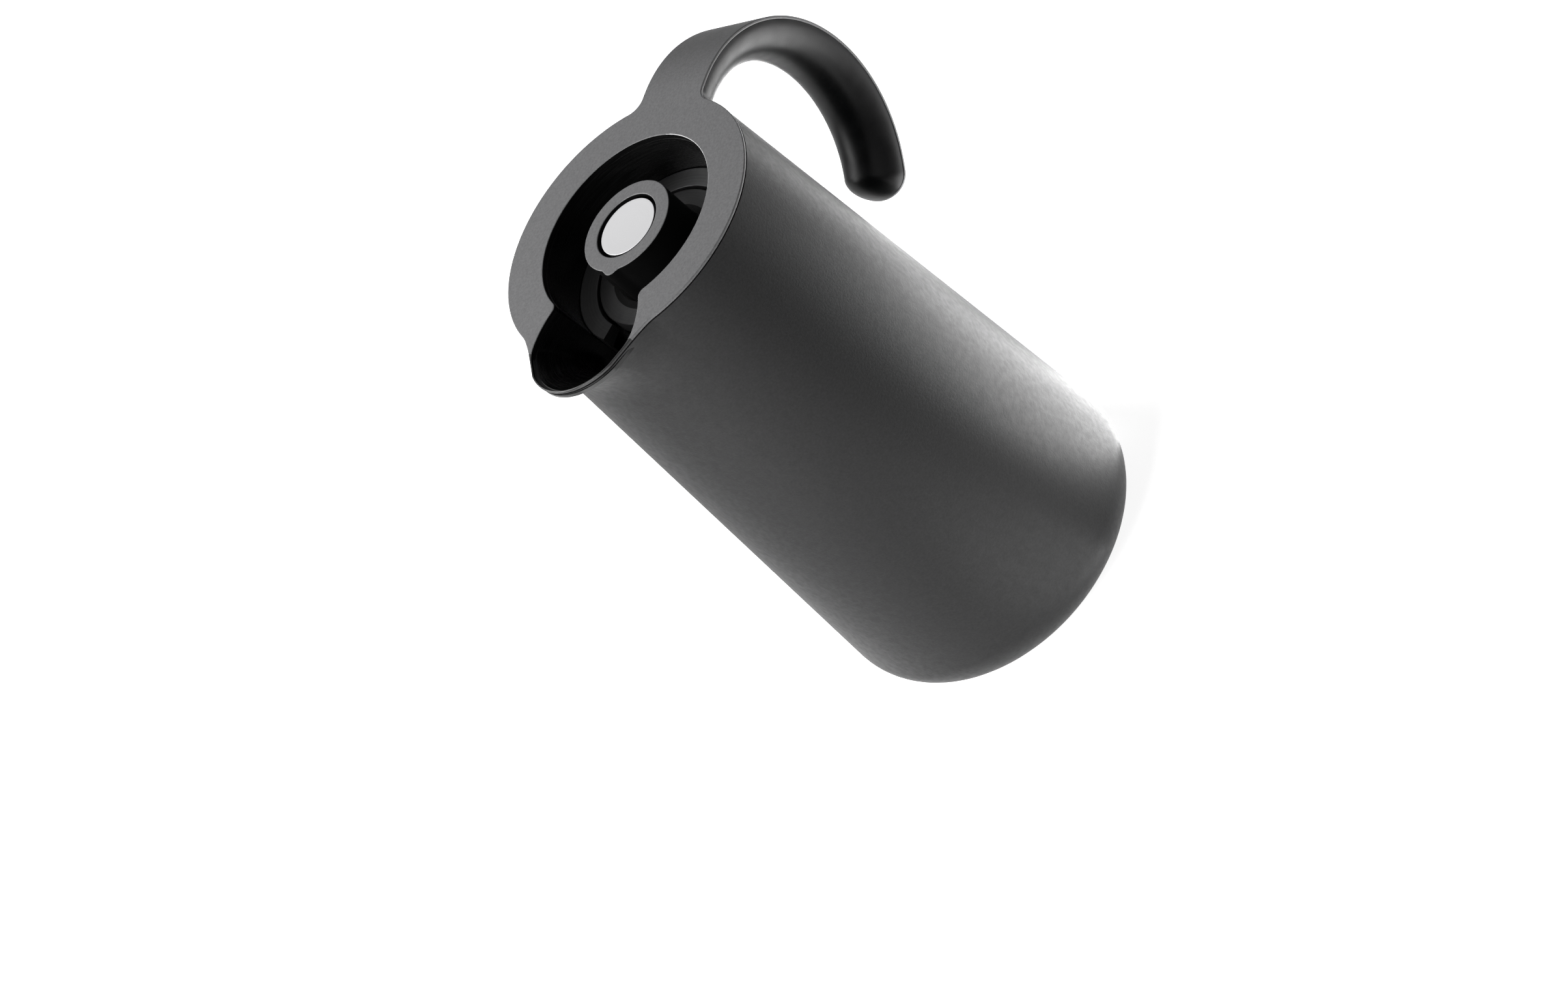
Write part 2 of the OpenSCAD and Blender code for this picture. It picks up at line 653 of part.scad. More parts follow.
// Stopper: seal in the neck, cap with post and flange, plug with windows
module stopper_seal() color("#d8d4cc") {
    translate([0, 0, seal_z]) difference() {
        cylinder(r = neck_r - pass_gap, h = seal_h);
        translate([0, 0, -over]) cylinder(r = plug_r + pass_gap, h = seal_h + 2 * over);
    }
}
module stopper_cap() color("#4a4b4d") {
    top_z = body_h - post_depth;
    guide_top_z = plunger_z - button_travel - button_t;
    rotate_extrude() polygon([
        [guide_r, plug_top_z], [flange_r - cap_wall, plug_top_z], [flange_r - cap_wall, cap_low_z],
        [flange_r, cap_low_z], [flange_r, flange_z], [post_r, flange_z], [post_r, top_z],
        [button_hole_r, top_z], [button_hole_r, guide_top_z], [guide_r, guide_top_z]
    ]);
    difference() {
        translate([0, 0, flange_z]) linear_extrude(top_z - flange_z) {
            tip_x = -post_r - pointer_out + pointer_w / 2;
            translate([tip_x, 0]) circle(r = pointer_w / 2);
            translate([tip_x, -pointer_w / 2]) square([pointer_w, pointer_w]);
        }
        translate([0, 0, flange_z - over]) cylinder(r = post_r - seat_gap, h = body_h);
    }
}
module stopper_plug() color("#2a2a2b") {
    flange_low = plug_top_z - plug_flange_t;
    bore = rod_r + slide_gap;
    difference() {
        rotate_extrude() polygon([
            [bore, flange_low - hub_len], [bore, plug_top_z],
            [flange_r - cap_wall - seat_gap, plug_top_z], [flange_r - cap_wall - seat_gap, flange_low],
            [plug_wide_r, flange_low], [plug_wide_r, plug_shoulder_z], [plug_r, plug_shoulder_z],
            [plug_r, plug_low_z], [plug_r - plug_t, plug_low_z],
            [plug_r - plug_t, plug_shoulder_z + plug_t], [plug_wide_r - plug_t, plug_shoulder_z + plug_t],
            [plug_wide_r - plug_t, flange_low], [bore + hub_wall, flange_low],
            [bore + hub_wall, flange_low - hub_len]
        ]);
        for (i = [0 : window_count - 1]) rotate([0, 0, 45 + 360 * i / window_count])
            translate([bore + hub_wall + over, -window_half_w, bowl_z + pass_gap])
                cube([plug_wide_r, 2 * window_half_w, flange_low - bowl_z - 2 * pass_gap]);
    }
}

// Push button with its plunger, spring and latch rotor
module button_cap() color("#d9dadb") {
    edge_r = button_t / 2;
    rotate_extrude() polygon(concat(
        [[0, plunger_z], [button_r, plunger_z]],
        arc([button_r - edge_r, button_z - edge_r], edge_r, 0, 90, plan_steps), [[0, button_z]]
    ));
}
module button_plunger() color("#202021") {
    rotate_extrude() polygon([
        [0, plunger_z], [0, plunger_floor_z], [plunger_r - plunger_wall, plunger_floor_z],
        [plunger_r - plunger_wall, plunger_low_z], [plunger_r, plunger_low_z], [plunger_r, plunger_z]
    ]);
}
module return_spring() color("#a8abb0") {
    low = plug_top_z + spring_wire_r + seat_gap;
    rise = plunger_floor_z - spring_wire_r - seat_gap - low;
    steps = spring_turns * spring_steps;
    loft([for (i = [0 : steps])
        let (a = 360 * i / spring_steps, z = low + rise * i / steps)
        [for (k = [0 : spring_sides - 1])
            let (b = 360 * k / spring_sides, r = spring_r + spring_wire_r * cos(b))
            [r * cos(a), r * sin(a), z + spring_wire_r * sin(b)]]]);
}
module latch_rotor() color("#c8c6c0") {
    out_r = guide_r - pass_gap;
    low_z = plunger_low_z - rotor_h;
    tooth_w = 2 * PI * out_r / rotor_teeth;
    translate([0, 0, low_z]) difference() {
        cylinder(r = out_r, h = rotor_h);
        translate([0, 0, -over]) cylinder(r = out_r - rotor_wall, h = rotor_h + 2 * over);
    }
    intersection() {
        for (i = [0 : rotor_teeth - 1]) rotate([0, 0, 360 * i / rotor_teeth])
            translate([0, 0, low_z]) rotate([90, 0, 90]) linear_extrude(out_r)
                polygon([[-tooth_w / 3, 0], [tooth_w / 3, 0], [-tooth_w / 3, -tooth_h]]);
        translate([0, 0, low_z - tooth_h]) difference() {
            cylinder(r = out_r, h = tooth_h);
            translate([0, 0, -over]) cylinder(r = out_r - rotor_wall, h = tooth_h + 2 * over);
        }
    }
}

// Valve at the plug's lower end, pushed open by the button's rod
valve_seal_z = plug_low_z - seal_t;
disc_z = valve_seal_z - disc_t;
module valve_rod() color("#b4b7bb") {
    translate([0, 0, valve_seal_z]) cylinder(r = rod_r, h = plunger_floor_z - valve_seal_z);
    translate([0, 0, plunger_floor_z - plunger_t]) cylinder(r = rod_r + rod_head_out, h = plunger_t);
}
module valve_disc() color("#2a2a2b") {
    translate([0, 0, disc_z]) cylinder(r = plug_r - pass_gap, h = disc_t);
}
module valve_seal() color("#d8d4cc") {
    translate([0, 0, valve_seal_z]) difference() {
        cylinder(r = plug_r - pass_gap, h = seal_t);
        translate([0, 0, -over]) cylinder(r = plug_r - pass_gap - seal_w, h = seal_t + 2 * over);
    }
}

body_shell();
rim_gasket();
rim_ring();
top_plate();
handle_grip();
handle_screws();
pour_bowl();
plate_screws();
neck_collar();
neck_gasket();
liner_outer();
liner_inner();
liner_spacers();
tip_guard();
base_cushion();
base_ring();
base_cover();
foot_ring();
stopper_seal();
stopper_cap();
stopper_plug();
button_cap();
button_plunger();
return_spring();
latch_rotor();
valve_rod();
valve_disc();
valve_seal();
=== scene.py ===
import math
import bmesh
import bpy
import numpy as np
from mathutils import Matrix, Vector


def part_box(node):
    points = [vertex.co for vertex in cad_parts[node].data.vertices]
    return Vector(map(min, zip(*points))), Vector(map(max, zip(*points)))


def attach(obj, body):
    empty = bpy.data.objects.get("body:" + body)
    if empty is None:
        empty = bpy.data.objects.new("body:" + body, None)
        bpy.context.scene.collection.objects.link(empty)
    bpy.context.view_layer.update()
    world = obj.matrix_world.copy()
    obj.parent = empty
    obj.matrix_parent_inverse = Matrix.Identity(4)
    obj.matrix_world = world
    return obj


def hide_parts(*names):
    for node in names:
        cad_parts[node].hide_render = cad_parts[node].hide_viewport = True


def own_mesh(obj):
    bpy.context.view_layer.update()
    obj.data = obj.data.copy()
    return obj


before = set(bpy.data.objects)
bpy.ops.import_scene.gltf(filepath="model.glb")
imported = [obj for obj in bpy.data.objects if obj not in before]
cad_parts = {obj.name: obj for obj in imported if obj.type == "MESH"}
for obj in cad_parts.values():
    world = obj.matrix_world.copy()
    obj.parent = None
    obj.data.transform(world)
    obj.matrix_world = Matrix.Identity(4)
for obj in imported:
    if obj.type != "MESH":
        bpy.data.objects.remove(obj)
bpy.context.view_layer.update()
MM = 0.001


def lowest(node):
    """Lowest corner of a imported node, in millimetres."""
    return np.array(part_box(node)[0]) / MM


def highest(node):
    return np.array(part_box(node)[1]) / MM


def span(node):
    """Outer radius, lowest and highest level of a round node, in millimetres."""
    return highest(node)[0], lowest(node)[2], highest(node)[2]


# Sizes, in millimetres

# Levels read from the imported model
top_z = highest("top_plate")[2]
seam_z = highest("body_shell")[2]
seam_low_z = highest("rim_gasket")[2]
lip_x = lowest("top_plate")[0]
button_top_z = highest("button_cap")[2]
plunger_top_z = highest("button_plunger")[2]

# Steel jacket
mouth_r, foot_r, body_h = 55.4, 69.5, top_z
base_round, steel_t, steel_lift = 19.4, 0.8, lowest("body_shell")[2]
base_hole_r = 44.0
press_h, press_bend = 32.0, 2.4

# Top plate, lip and band
plate_r, plate_edge_t, plate_round = 55.6, 1.2, 0.35
plate_low_z = top_z - 2.6
spout_side, spout_angle = 51.0, math.radians(32.0)
lip_r, lip_corner_r, blend_r, lip_t, lip_thinner = 27.0, 8.0, 12.0, 1.5, 0.75
lip_thin_len, lip_bare_x, step_r, step_gap = 9.0, -53.0, 54.3, 0.15
bowl_r, neck_corner_r = 38.85, 3.0
trough_half_w, trough_wide_x, trough_side_r = 24.9, 49.5, 36.0
band_half_w, band_end_half_w, handle_blend_r = 15.3, 13.5, 7.0

# Handle
handle_r, handle_drop, handle_x, handle_turn = 60.0, 61.9, 60.5, math.radians(153.0)
grip_depth, grip_end_depth = 13.8, 13.2
grip_seam, grip_root_flare, grip_root_x, handle_end_round = 0.3, 4.5, mouth_r - 4.0, 10.0
# The round end stops just short of a quarter turn, so that its last section keeps a size
dome_turn = 0.99 * math.pi / 2
band_stations, grip_stations, grip_cells, grip_back_share = 73, 161, 40, 0.2

# Bowl
bowl_draft, trough_wall_t, bowl_floor_t, bowl_flange_t = 0.9, 0.4, 2.2, 1.5
floor_z = top_z - 31.0
trough_in_x, trough_bend, trough_x_share, trough_y_share = 30.0, 1.2, 0.33, 0.95
trough_from, trough_blend_w = 2.5, 4.0
neck_r, neck_wall_t, neck_lip = 21.0, 2.6, 1.6
neck_low_z = lowest("pour_bowl")[2]
collar_out_z, collar_in_z = top_z - 20.5, top_z - 22.0
collar_in_r, collar_t, notch_half_w = 30.9, 4.0, 13.7

# Stopper
post_r, post_top_z, button_hole_r = 19.8, top_z - 1.3, 13.8
flange_r, flange_top_z = 29.6, top_z - 22.0
pointer_out, pointer_half_base, pointer_power = 1.9, 4.4, 0.8
post_edge, post_fillet, post_foot_w = 0.35, 0.3, 3.0
guide_r, guide_top_z = 12.56, plunger_top_z - 6.2
plug_top_z, cap_wall, cap_low_z = highest("stopper_plug")[2], 2.0, lowest("stopper_cap")[2]
button_r, button_edge, button_dish, button_press = 12.4, 0.15, 0.12, 5.0

# Screws and spring
screw_head_r, screw_head_h, screw_r, screw_pitch, spring_wire_r = 2.8, 2.0, 1.5, 0.7, 0.45
handle_screw_y, plate_screw_angles = 4.5, np.radians((-110, -50, 50, 110))

# What sideways distances count for in a pattern of level scratches, which makes the scratches long
level_stretch = 0.04

# What counts as a flat, an upright and a left-hand face, by its normal
nearly_flat, nearly_upright, faces_left = 0.97, 0.25, 0.1

# Play between pieces that fit into each other, and between the band and the grip
play, band_gap = 0.1, 0.05


# Outlines
def polar(r, a):
    """Points at a distance and at angles round the origin."""
    return np.stack([r * np.cos(a), r * np.sin(a)], 1)


def arc(centre, r, a0, a1, per_step=3.0):
    """Points of an arc with both ends; the number depends on the angle alone."""
    n = max(2, math.ceil(abs(math.degrees(a1 - a0)) / per_step))
    return np.asarray(centre) + polar(r, np.linspace(a0, a1, n + 1))


def all_round(n=240):
    """Angles of n places all round."""
    return np.linspace(0, 2 * math.pi, n, endpoint=False)


def circle_points(r, n=240):
    return polar(r, all_round(n))


def reach_of(outline):
    """Distance of each point from the jug's axis."""
    return np.hypot(outline[:, 0], outline[:, 1])


def chain(*parts):
    """Joins outlines and leaves out a point that repeats the last one."""
    out = []
    for part in parts:
        for p in part:
            if not out or np.hypot(*(p - out[-1])) > 1e-6:
                out.append(np.asarray(p, float))
    return np.array(out)


def angle_of(p):
    return math.atan2(p[1], p[0])


def mirrored(half):
    """Whole outline from the half with y above zero; points on the middle plane stay single."""
    other = half[::-1] * [1, -1]
    return chain(half, other)[: -1 if abs(half[0][1]) < 1e-9 else None]


side_a = math.pi / 2 + spout_angle
side_n = np.array([math.cos(side_a), math.sin(side_a)])
side_t = np.array([-side_n[1], side_n[0]])
front_c = np.array([lip_x + lip_r, 0.0])
corner_w = (spout_side - lip_corner_r) * side_n - front_c
corner_along = corner_w @ side_t
corner_s = math.sqrt(corner_along ** 2 - corner_w @ corner_w + (lip_r - lip_corner_r) ** 2) - corner_along
corner_c = (spout_side - lip_corner_r) * side_n + corner_s * side_t
front_a = angle_of(corner_c - front_c)
blend_s = math.sqrt((plate_r + blend_r) ** 2 - (spout_side + blend_r) ** 2)
blend_c = (spout_side + blend_r) * side_n + blend_s * side_t
blend_a = angle_of(blend_c)
root_c = np.array([math.sqrt((plate_r + handle_blend_r) ** 2 - (band_half_w + handle_blend_r) ** 2),
                   band_half_w + handle_blend_r])
root_a = angle_of(root_c)
wide_r = (spout_side - lip_t + trough_wide_x * side_n[0] - trough_half_w * side_n[1]) / (1 - side_n[1])
wide_c = np.array([-trough_wide_x, trough_half_w - wide_r])
long_c = np.array([-trough_wide_x, trough_half_w - trough_side_r])


def meet(c1, r1, c2, r2):
    d = np.hypot(*(c2 - c1))
    u = (c2 - c1) / d
    a = (d * d + r1 * r1 - r2 * r2) / (2 * d)
    return c1 + a * u + math.sqrt(r1 * r1 - a * a) * np.array([-u[1], u[0]])


neck_c = meet(long_c, trough_side_r + neck_corner_r, np.zeros(2), bowl_r + neck_corner_r)


def straight(p, q, n=8):
    return np.linspace(p, q, n + 1)


def lip_end(inset):
    return chain(arc(corner_c, lip_corner_r - inset, side_a, front_a),
                 arc(front_c, lip_r - inset, front_a, math.pi))


def lip_half(inset):
    """Outer edge from the blend to the tip; on its way it comes closer to the trough."""
    both = []
    for more in (0.0, lip_thinner):
        start = arc(blend_c, blend_r + inset + more, blend_a + math.pi, side_a + math.pi)
        end = lip_end(inset + more)
        both.append(chain(start, straight(start[-1], end[0]), end))
    t = np.clip((both[0][0, 0] - both[0][:, 0]) / lip_thin_len, 0, 1)[:, None]
    return both[0] + (both[1] - both[0]) * t * t * (3 - 2 * t)


def rim_half(inset):
    return chain(arc((0, 0), plate_r - inset, 0, blend_a, 1.5), lip_half(inset))


def plate_half(inset):
    """Half of the top plate's outline, from the start of the band over the handle to the tip."""
    return chain([[handle_x, band_half_w - inset]],
                 arc(root_c, handle_blend_r + inset, 1.5 * math.pi, root_a + math.pi),
                 arc((0, 0), plate_r - inset, root_a, blend_a, 1.5), lip_half(inset))


def keyhole_half(grow):
    neck_a = angle_of(neck_c)
    corner = arc(neck_c, neck_corner_r - grow, neck_a + math.pi, angle_of(long_c - neck_c) + 2 * math.pi, 8.0)
    side = arc(long_c, trough_side_r + grow, angle_of(neck_c - long_c), math.pi / 2)
    wide = arc(wide_c, wide_r + grow, math.pi / 2, side_a)
    end = lip_end(lip_t - grow)
    bowl = arc((0, 0), bowl_r + grow, 0, neck_a, 1.5)
    return chain(bowl, corner, side, wide, straight(wide[-1], end[0], 4), end)


def under_plate(r, grow):
    """Outline under the plate: a circle that gives way to the trough."""
    hole = mirrored(keyhole_half(grow))
    reach = reach_of(hole)
    return hole * (np.maximum(reach, np.where(hole[:, 0] > neck_c[0] - 2.0, r, 0.0)) / reach)[:, None]


# Mesh making
def mesh_object(name, points, faces, smooth_angle=40.0):
    """Mesh object from points in millimetres."""
    draft = bpy.data.meshes.new(name)
    draft.from_pydata([tuple(float(v) * MM for v in p) for p in points], [], faces)
    bm = bmesh.new()
    bm.from_mesh(draft)
    bpy.data.meshes.remove(draft)
    return finished(bm, name, smooth_angle)


def put(name, data):
    """New object in the scene."""
    obj = bpy.data.objects.new(name, data)
    bpy.context.scene.collection.objects.link(obj)
    return obj


def corners(bm, points):
    """Vertices from points in millimetres."""
    return [bm.verts.new(Vector(p) * MM) for p in points]


def quads(bm, rows, closed=True):
    """Faces between rows of vertices; closed joins a row's ends."""
    for a, b in zip(rows, rows[1:]):
        for i in range(len(a) if closed else len(a) - 1):
            j = (i + 1) % len(a)
            bm.faces.new((a[i], a[j], b[j], b[i]))


def finished(bm, name, smooth_angle=40.0):
    """Object from a bmesh: points that coincide merged, normals outwards, edges sharp over an angle."""
    bmesh.ops.remove_doubles(bm, verts=bm.verts, dist=1e-7)
    bmesh.ops.recalc_face_normals(bm, faces=bm.faces)
    mesh = bpy.data.meshes.new(name)
    bm.to_mesh(mesh)
    bm.free()
    return soften(put(name, mesh), smooth_angle)


def soften(obj, smooth_angle=40.0):
    """Smooth shading with sharp edges over the angle, and normals that favour the large faces."""
    obj.data.shade_smooth()
    obj.data.set_sharp_from_angle(angle=math.radians(smooth_angle))
    weighted = obj.modifiers.new("large faces lead", "WEIGHTED_NORMAL")
    weighted.keep_sharp = True
    return obj


def strips(rings, closed=True, loop=False):
    """Quads between rings of equal length; closed joins a ring's ends, loop the last ring to the first."""
    n = len(rings[0])
    m = len(rings)
    faces = []
    for k in range(m if loop else m - 1):
        a, b = k * n, (k + 1) % m * n
        for i in range(n if closed else n - 1):
            j = (i + 1) % n
            faces.append((a + i, a + j, b + j, b + i))
    return faces


def level(outline, z):
    return np.column_stack([outline, np.full(len(outline), z)])


def from_rings(name, rings, smooth_angle=40.0, loop=False):
    """Object from rings of equal length; its first and last ring are closed, or joined when it loops."""
    n, m = len(rings[0]), len(rings)
    ends = [] if loop else [tuple(range(n)), tuple(range((m - 1) * n, m * n))]
    return mesh_object(name, np.concatenate(rings), strips(rings, loop=loop) + ends, smooth_angle)


def turned(name, profile, radii=None, steps=192):
    """Solid turned round the jug's axis from a closed outline of (radius, height), its corners rounded."""
    profile = profile if radii is None else rounded(profile, radii)
    a = all_round(steps)
    points, first, faces = [], [], []
    for r, z in profile:
        first.append((len(points), r < 1e-6))
        points += [(0, 0, z)] if r < 1e-6 else [(r * math.cos(t), r * math.sin(t), z) for t in a]
    for (p, pole_p), (q, pole_q) in zip(first, first[1:] + first[:1]):
        for i in range(steps):
            j = (i + 1) % steps
            face = ([p] if pole_p else [p + i, p + j]) + ([q] if pole_q else [q + j, q + i])
            if len(face) > 2:
                faces.append(tuple(face))
    return mesh_object(name, points, faces)


def rounded(profile, radii, per_step=18.0):
    """Closed profile with its corners rounded; a radius of zero keeps the corner."""
    profile = [np.array(p, float) for p in profile]
    radii = radii if hasattr(radii, "__len__") else [radii] * len(profile)
    out = []
    for i, (p, r) in enumerate(zip(profile, radii)):
        u, v = profile[i - 1] - p, profile[(i + 1) % len(profile)] - p
        lu, lv = np.hypot(*u), np.hypot(*v)
        u, v = u / lu, v / lv
        half = math.acos(np.clip(u @ v, -1, 1)) / 2
        if r <= 0 or half > math.radians(89.5):
            out.append(p)
            continue
        cut = min(r / math.tan(half), 0.49 * lu, 0.49 * lv)
        r = cut * math.tan(half)
        mid = u + v
        centre = p + mid / np.hypot(*mid) * r / math.sin(half)
        a0, a1 = angle_of(p + cut * u - centre), angle_of(p + cut * v - centre)
        a1 = a0 + (a1 - a0 + math.pi) % (2 * math.pi) - math.pi
        out += list(arc(centre, r, a0, a1, per_step))
    return [tuple(p) for p in out]


def fill_between(bm, *loops):
    """Flat faces between closed loops, given as lists of vertices in order."""
    edges = []
    for loop in loops:
        for a, b in zip(loop, loop[1:] + loop[:1]):
            edges.append(bm.edges.get((a, b)) or bm.edges.new((a, b)))
    bmesh.ops.triangle_fill(bm, use_beauty=True, use_dissolve=False, edges=edges)


def round_over(r, steps=4):
    """Pairs (inset, drop) of a rounded edge, from the side to the top."""
    return [(r - r * math.cos(t), r - r * math.sin(t)) for t in np.linspace(0, math.pi / 2, steps + 1)]


def join(name, *parts):
    """One object from several, as one moulded or welded piece."""
    target = parts[0]
    bm = bmesh.new()
    for part in parts:
        bm.from_mesh(part.data)
    bm.to_mesh(target.data)
    bm.free()
    for part in parts[1:]:
        bpy.data.objects.remove(part)
    target.name = target.data.name = name
    return target


# Finishes
def linear(hex_colour):
    """sRGB hex to linear light, with alpha one."""
    parts = [int(hex_colour[i:i + 2], 16) / 255 for i in (1, 3, 5)]
    return tuple(c / 12.92 if c <= 0.04045 else ((c + 0.055) / 1.055) ** 2.4 for c in parts) + (1.0,)


def add(tree, kind, inputs=None, out=0, **settings):
    """Adds a node and gives one of its outputs; an input takes a value, a socket or a list of sockets."""
    new = tree.nodes.new(kind)
    for key, value in settings.items():
        setattr(new, key, value)
    for key, value in (inputs or {}).items():
        if isinstance(value, (bpy.types.NodeSocket, list)):
            for socket in value if isinstance(value, list) else [value]:
                tree.links.new(socket, new.inputs[key])
        else:
            new.inputs[key].default_value = value
    return new.outputs[out] if new.outputs else None


def new_material(name, **values):
    """Material with values on its surface shader; returns material, tree and shader."""
    material = bpy.data.materials.new(name)
    material.use_nodes = True
    shader = material.node_tree.nodes["Principled BSDF"]
    for key, value in values.items():
        shader.inputs[key.replace("_", " ")].default_value = value
    return material, material.node_tree, shader


def new_finish(name, dark, light, rough, patterns, relief_mm=0.0, relief_strength=1.0, **values):
    """Material between two tones. Its first pattern sets colour, the second roughness, the third relief.

    The first one serves for those left out. A pattern is (lie, lump size in mm, detail, coarseness), and its
    lie is even, rings round the jug's axis, or level lines.
    """
    material, tree, shader = new_material(name, **values)
    made = []
    for lie, size_mm, detail, coarseness in patterns:
        place = add(tree, "ShaderNodeTexCoord", out="Object")
        if lie != "even":
            stretch = (1.0, 1.0, 0.0) if lie == "rings" else (level_stretch, level_stretch, 1.0)
            place = add(tree, "ShaderNodeVectorMath", {0: place, 1: stretch}, operation="MULTIPLY")
        if lie == "rings":
            radius = add(tree, "ShaderNodeVectorMath", {0: place}, out="Value", operation="LENGTH")
            place = add(tree, "ShaderNodeCombineXYZ", {"X": radius})
        made.append(add(tree, "ShaderNodeTexNoise", {
            "Vector": place, "Scale": 1 / (size_mm * MM), "Detail": detail, "Roughness": coarseness}))
    colour, roughness, relief = made + made[:1] * (3 - len(made))
    mix = {0: colour, 6: linear(dark), 7: linear(light)}
    tree.links.new(add(tree, "ShaderNodeMix", mix, out=2, data_type="RGBA"), shader.inputs["Base Color"])
    spread = {"Value": roughness, "From Min": 0.3, "From Max": 0.7, "To Min": rough[0], "To Max": rough[1]}
    tree.links.new(add(tree, "ShaderNodeMapRange", spread), shader.inputs["Roughness"])
    if relief_mm:
        bump = {"Height": relief, "Distance": relief_mm * MM, "Strength": relief_strength}
        tree.links.new(add(tree, "ShaderNodeBump", bump), shader.inputs["Normal"])
    return material


# Powder coat baked on steel: a fine pebbled skin, matt, that turns silvery where light grazes it. Real
# pebbles are about 0.3 mm across and are drawn at 0.9 mm, so that they show.
COAT = new_finish("powder coated steel", "#080808", "#212122", (0.46, 0.54), [
    ("even", 0.9, 2.0, 0.7), ("even", 2.5, 2.0, 0.5)], 0.06, 0.8, Specular_IOR_Level=0.28)


def grained_plastic(name, dark, light, rough, grain_mm=0.5, gloss=0.5):
    """Moulded plastic with a spark-eroded grain: even satin with a trace of mottling."""
    return new_finish(name, dark, light, (rough - 0.04, rough + 0.04), [
        ("even", grain_mm, 3.0, 0.6), ("even", 6.0, 2.0, 0.5)], 0.03, 0.7, Specular_IOR_Level=gloss)


# Grey lacquer over a grained moulding: satin, speckled like stone, with speckles drawn at twice their size.
PLATE = grained_plastic("grained grey lacquer", "#4c4c4d", "#7b7b7c", 0.48, 0.9, 0.42)
# The same lacquer made pale: a painted highlight, a pale line along one side of the keyhole's rounded edge.
PAINTED_HIGHLIGHT = grained_plastic("lacquer with painted highlight", "#b4b4b5", "#d0d0d1", 0.4, 0.9, 0.6)
# Dyed nylon without gloss: swallows nearly all light.
POST_SIDE = grained_plastic("matt black nylon", "#020202", "#060606", 0.6, 0.6, 0.08)
# ABS with a satin skin: nearly black with one long soft light along a round bar.
GRIP = grained_plastic("satin charcoal ABS", "#050506", "#0d0d0e", 0.36, 0.6, 0.16)
# Plain moulded polypropylene: black with a greyish sheen.
INNER = grained_plastic("moulded black polypropylene", "#151516", "#202021", 0.42)
# Polypropylene from a polished mould: deep and wet looking, with level scratches from the mould's polishing.
# Real ones are a few hundredths of a millimetre wide and are drawn coarser, 0.6 mm apart.
BOWL = new_finish("polished polypropylene", "#030303", "#101010", (0.16, 0.34), [
    ("level", 0.6, 3.0, 0.7)], 0.012, 0.6, IOR=1.49)
# Nylon from a turned mould: dark grey with rings, drawn three times coarser than real; the rings are relief,
# and the light they catch is painted into their pale tones as painted sheen.
COLLAR = new_finish("turned nylon", "#050505", "#3c3c3d", (0.4, 0.52), [
    ("rings", 0.6, 3.0, 0.7), ("even", 4.0, 2.0, 0.5)], 0.02, 0.7, Specular_IOR_Level=0.25)
# Stainless steel brushed in rings: pale and soft, its lights drawn out across the rings.
BUTTON = new_finish("satin brushed steel", "#bdbdbe", "#d8d8d9", (0.37, 0.47), [
    ("rings", 0.25, 3.0, 0.7)], 0.004, 0.5, Metallic=1.0)
# Stainless wire and screws: bright, with short dull streaks from drawing and rolling.
WIRE = new_finish("drawn stainless steel", "#a9abad", "#cfd1d3", (0.2, 0.36), [
    ("even", 0.8, 2.0, 0.5)], Metallic=1.0)
# Silicone rubber: milky and soft, light goes a little way into it.
SOFT = new_finish("milky silicone", "#d3cfc6", "#e2dfd8", (0.42, 0.55), [
    ("even", 3.0, 2.0, 0.5), ("even", 3.0, 2.0, 0.5), ("even", 0.4, 2.0, 0.5)], 0.01, 0.4,
    Subsurface_Weight=0.25, Subsurface_Scale=0.002, IOR=1.41)
# EPDM rubber: dead black with a dusty bloom.
RUBBER = new_finish("black rubber", "#0e0e0e", "#1a1a1a", (0.68, 0.85), [
    ("even", 2.0, 3.0, 0.5), ("even", 2.0, 3.0, 0.5), ("even", 0.5, 2.0, 0.5)], 0.03, 0.6,
    Specular_IOR_Level=0.3)
# Glass silvered on its vacuum side: a mirror behind a thin clear skin, slightly uneven as blown.
GLASS = new_finish("silvered glass", "#b9bfc4", "#d5dadd", (0.04, 0.1), [
    ("even", 12.0, 1.0, 0.5)], 0.15, 0.3, Metallic=0.9, Coat_Weight=1.0, Coat_Roughness=0.02)
# Pressed ceramic fibre: a chalky pad with short tangled threads.
FIBRE = new_finish("pressed fibre", "#6f6654", "#958b76", (0.85, 0.95), [("even", 0.3, 4.0, 0.8)], 0.1, 0.8)
# Natural acetal: a waxy off-white that shows light through thin edges.
ACETAL = new_finish("natural acetal", "#c9c6bd", "#dbd8cf", (0.3, 0.42), [
    ("even", 2.0, 2.0, 0.5)], Subsurface_Weight=0.15, Subsurface_Scale=0.001)


def paint(data, *finishes):
    data.materials.clear()
    for finish in finishes:
        data.materials.append(finish)


def place_piece(obj, finish, body, node):
    """Gives a piece its finish, lets it ride on its body and stand for its CAD node."""
    paint(obj.data, finish)
    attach(obj, body)
    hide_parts(node)
    return obj


def finish_by_place(obj, finishes, pick):
    """Gives each face one of several finishes; pick turns its centre and normal into a number."""
    paint(obj.data, *finishes)
    for face in obj.data.polygons:
        face.material_index = pick(face.center / MM, face.normal)


# Steel jacket
lean = math.atan((foot_r - mouth_r) / body_h)


def wall_r(z):
    return foot_r - (foot_r - mouth_r) * z / body_h


def jacket_ring(skin, z):
    """Outline of the jacket at a level: a circle, drawn out to the lip over the pressed height."""
    t = np.clip((seam_z - z) / press_h, 0, 1)
    out = (1 - t) ** press_bend
    plan = mirrored(rim_half(plate_r - mouth_r + skin))
    reach = reach_of(plan)
    r = wall_r(z) - skin / math.cos(lean)
    scale = (r + (reach - (mouth_r - skin)) * out) / reach
    return level(plan * scale[:, None], z)


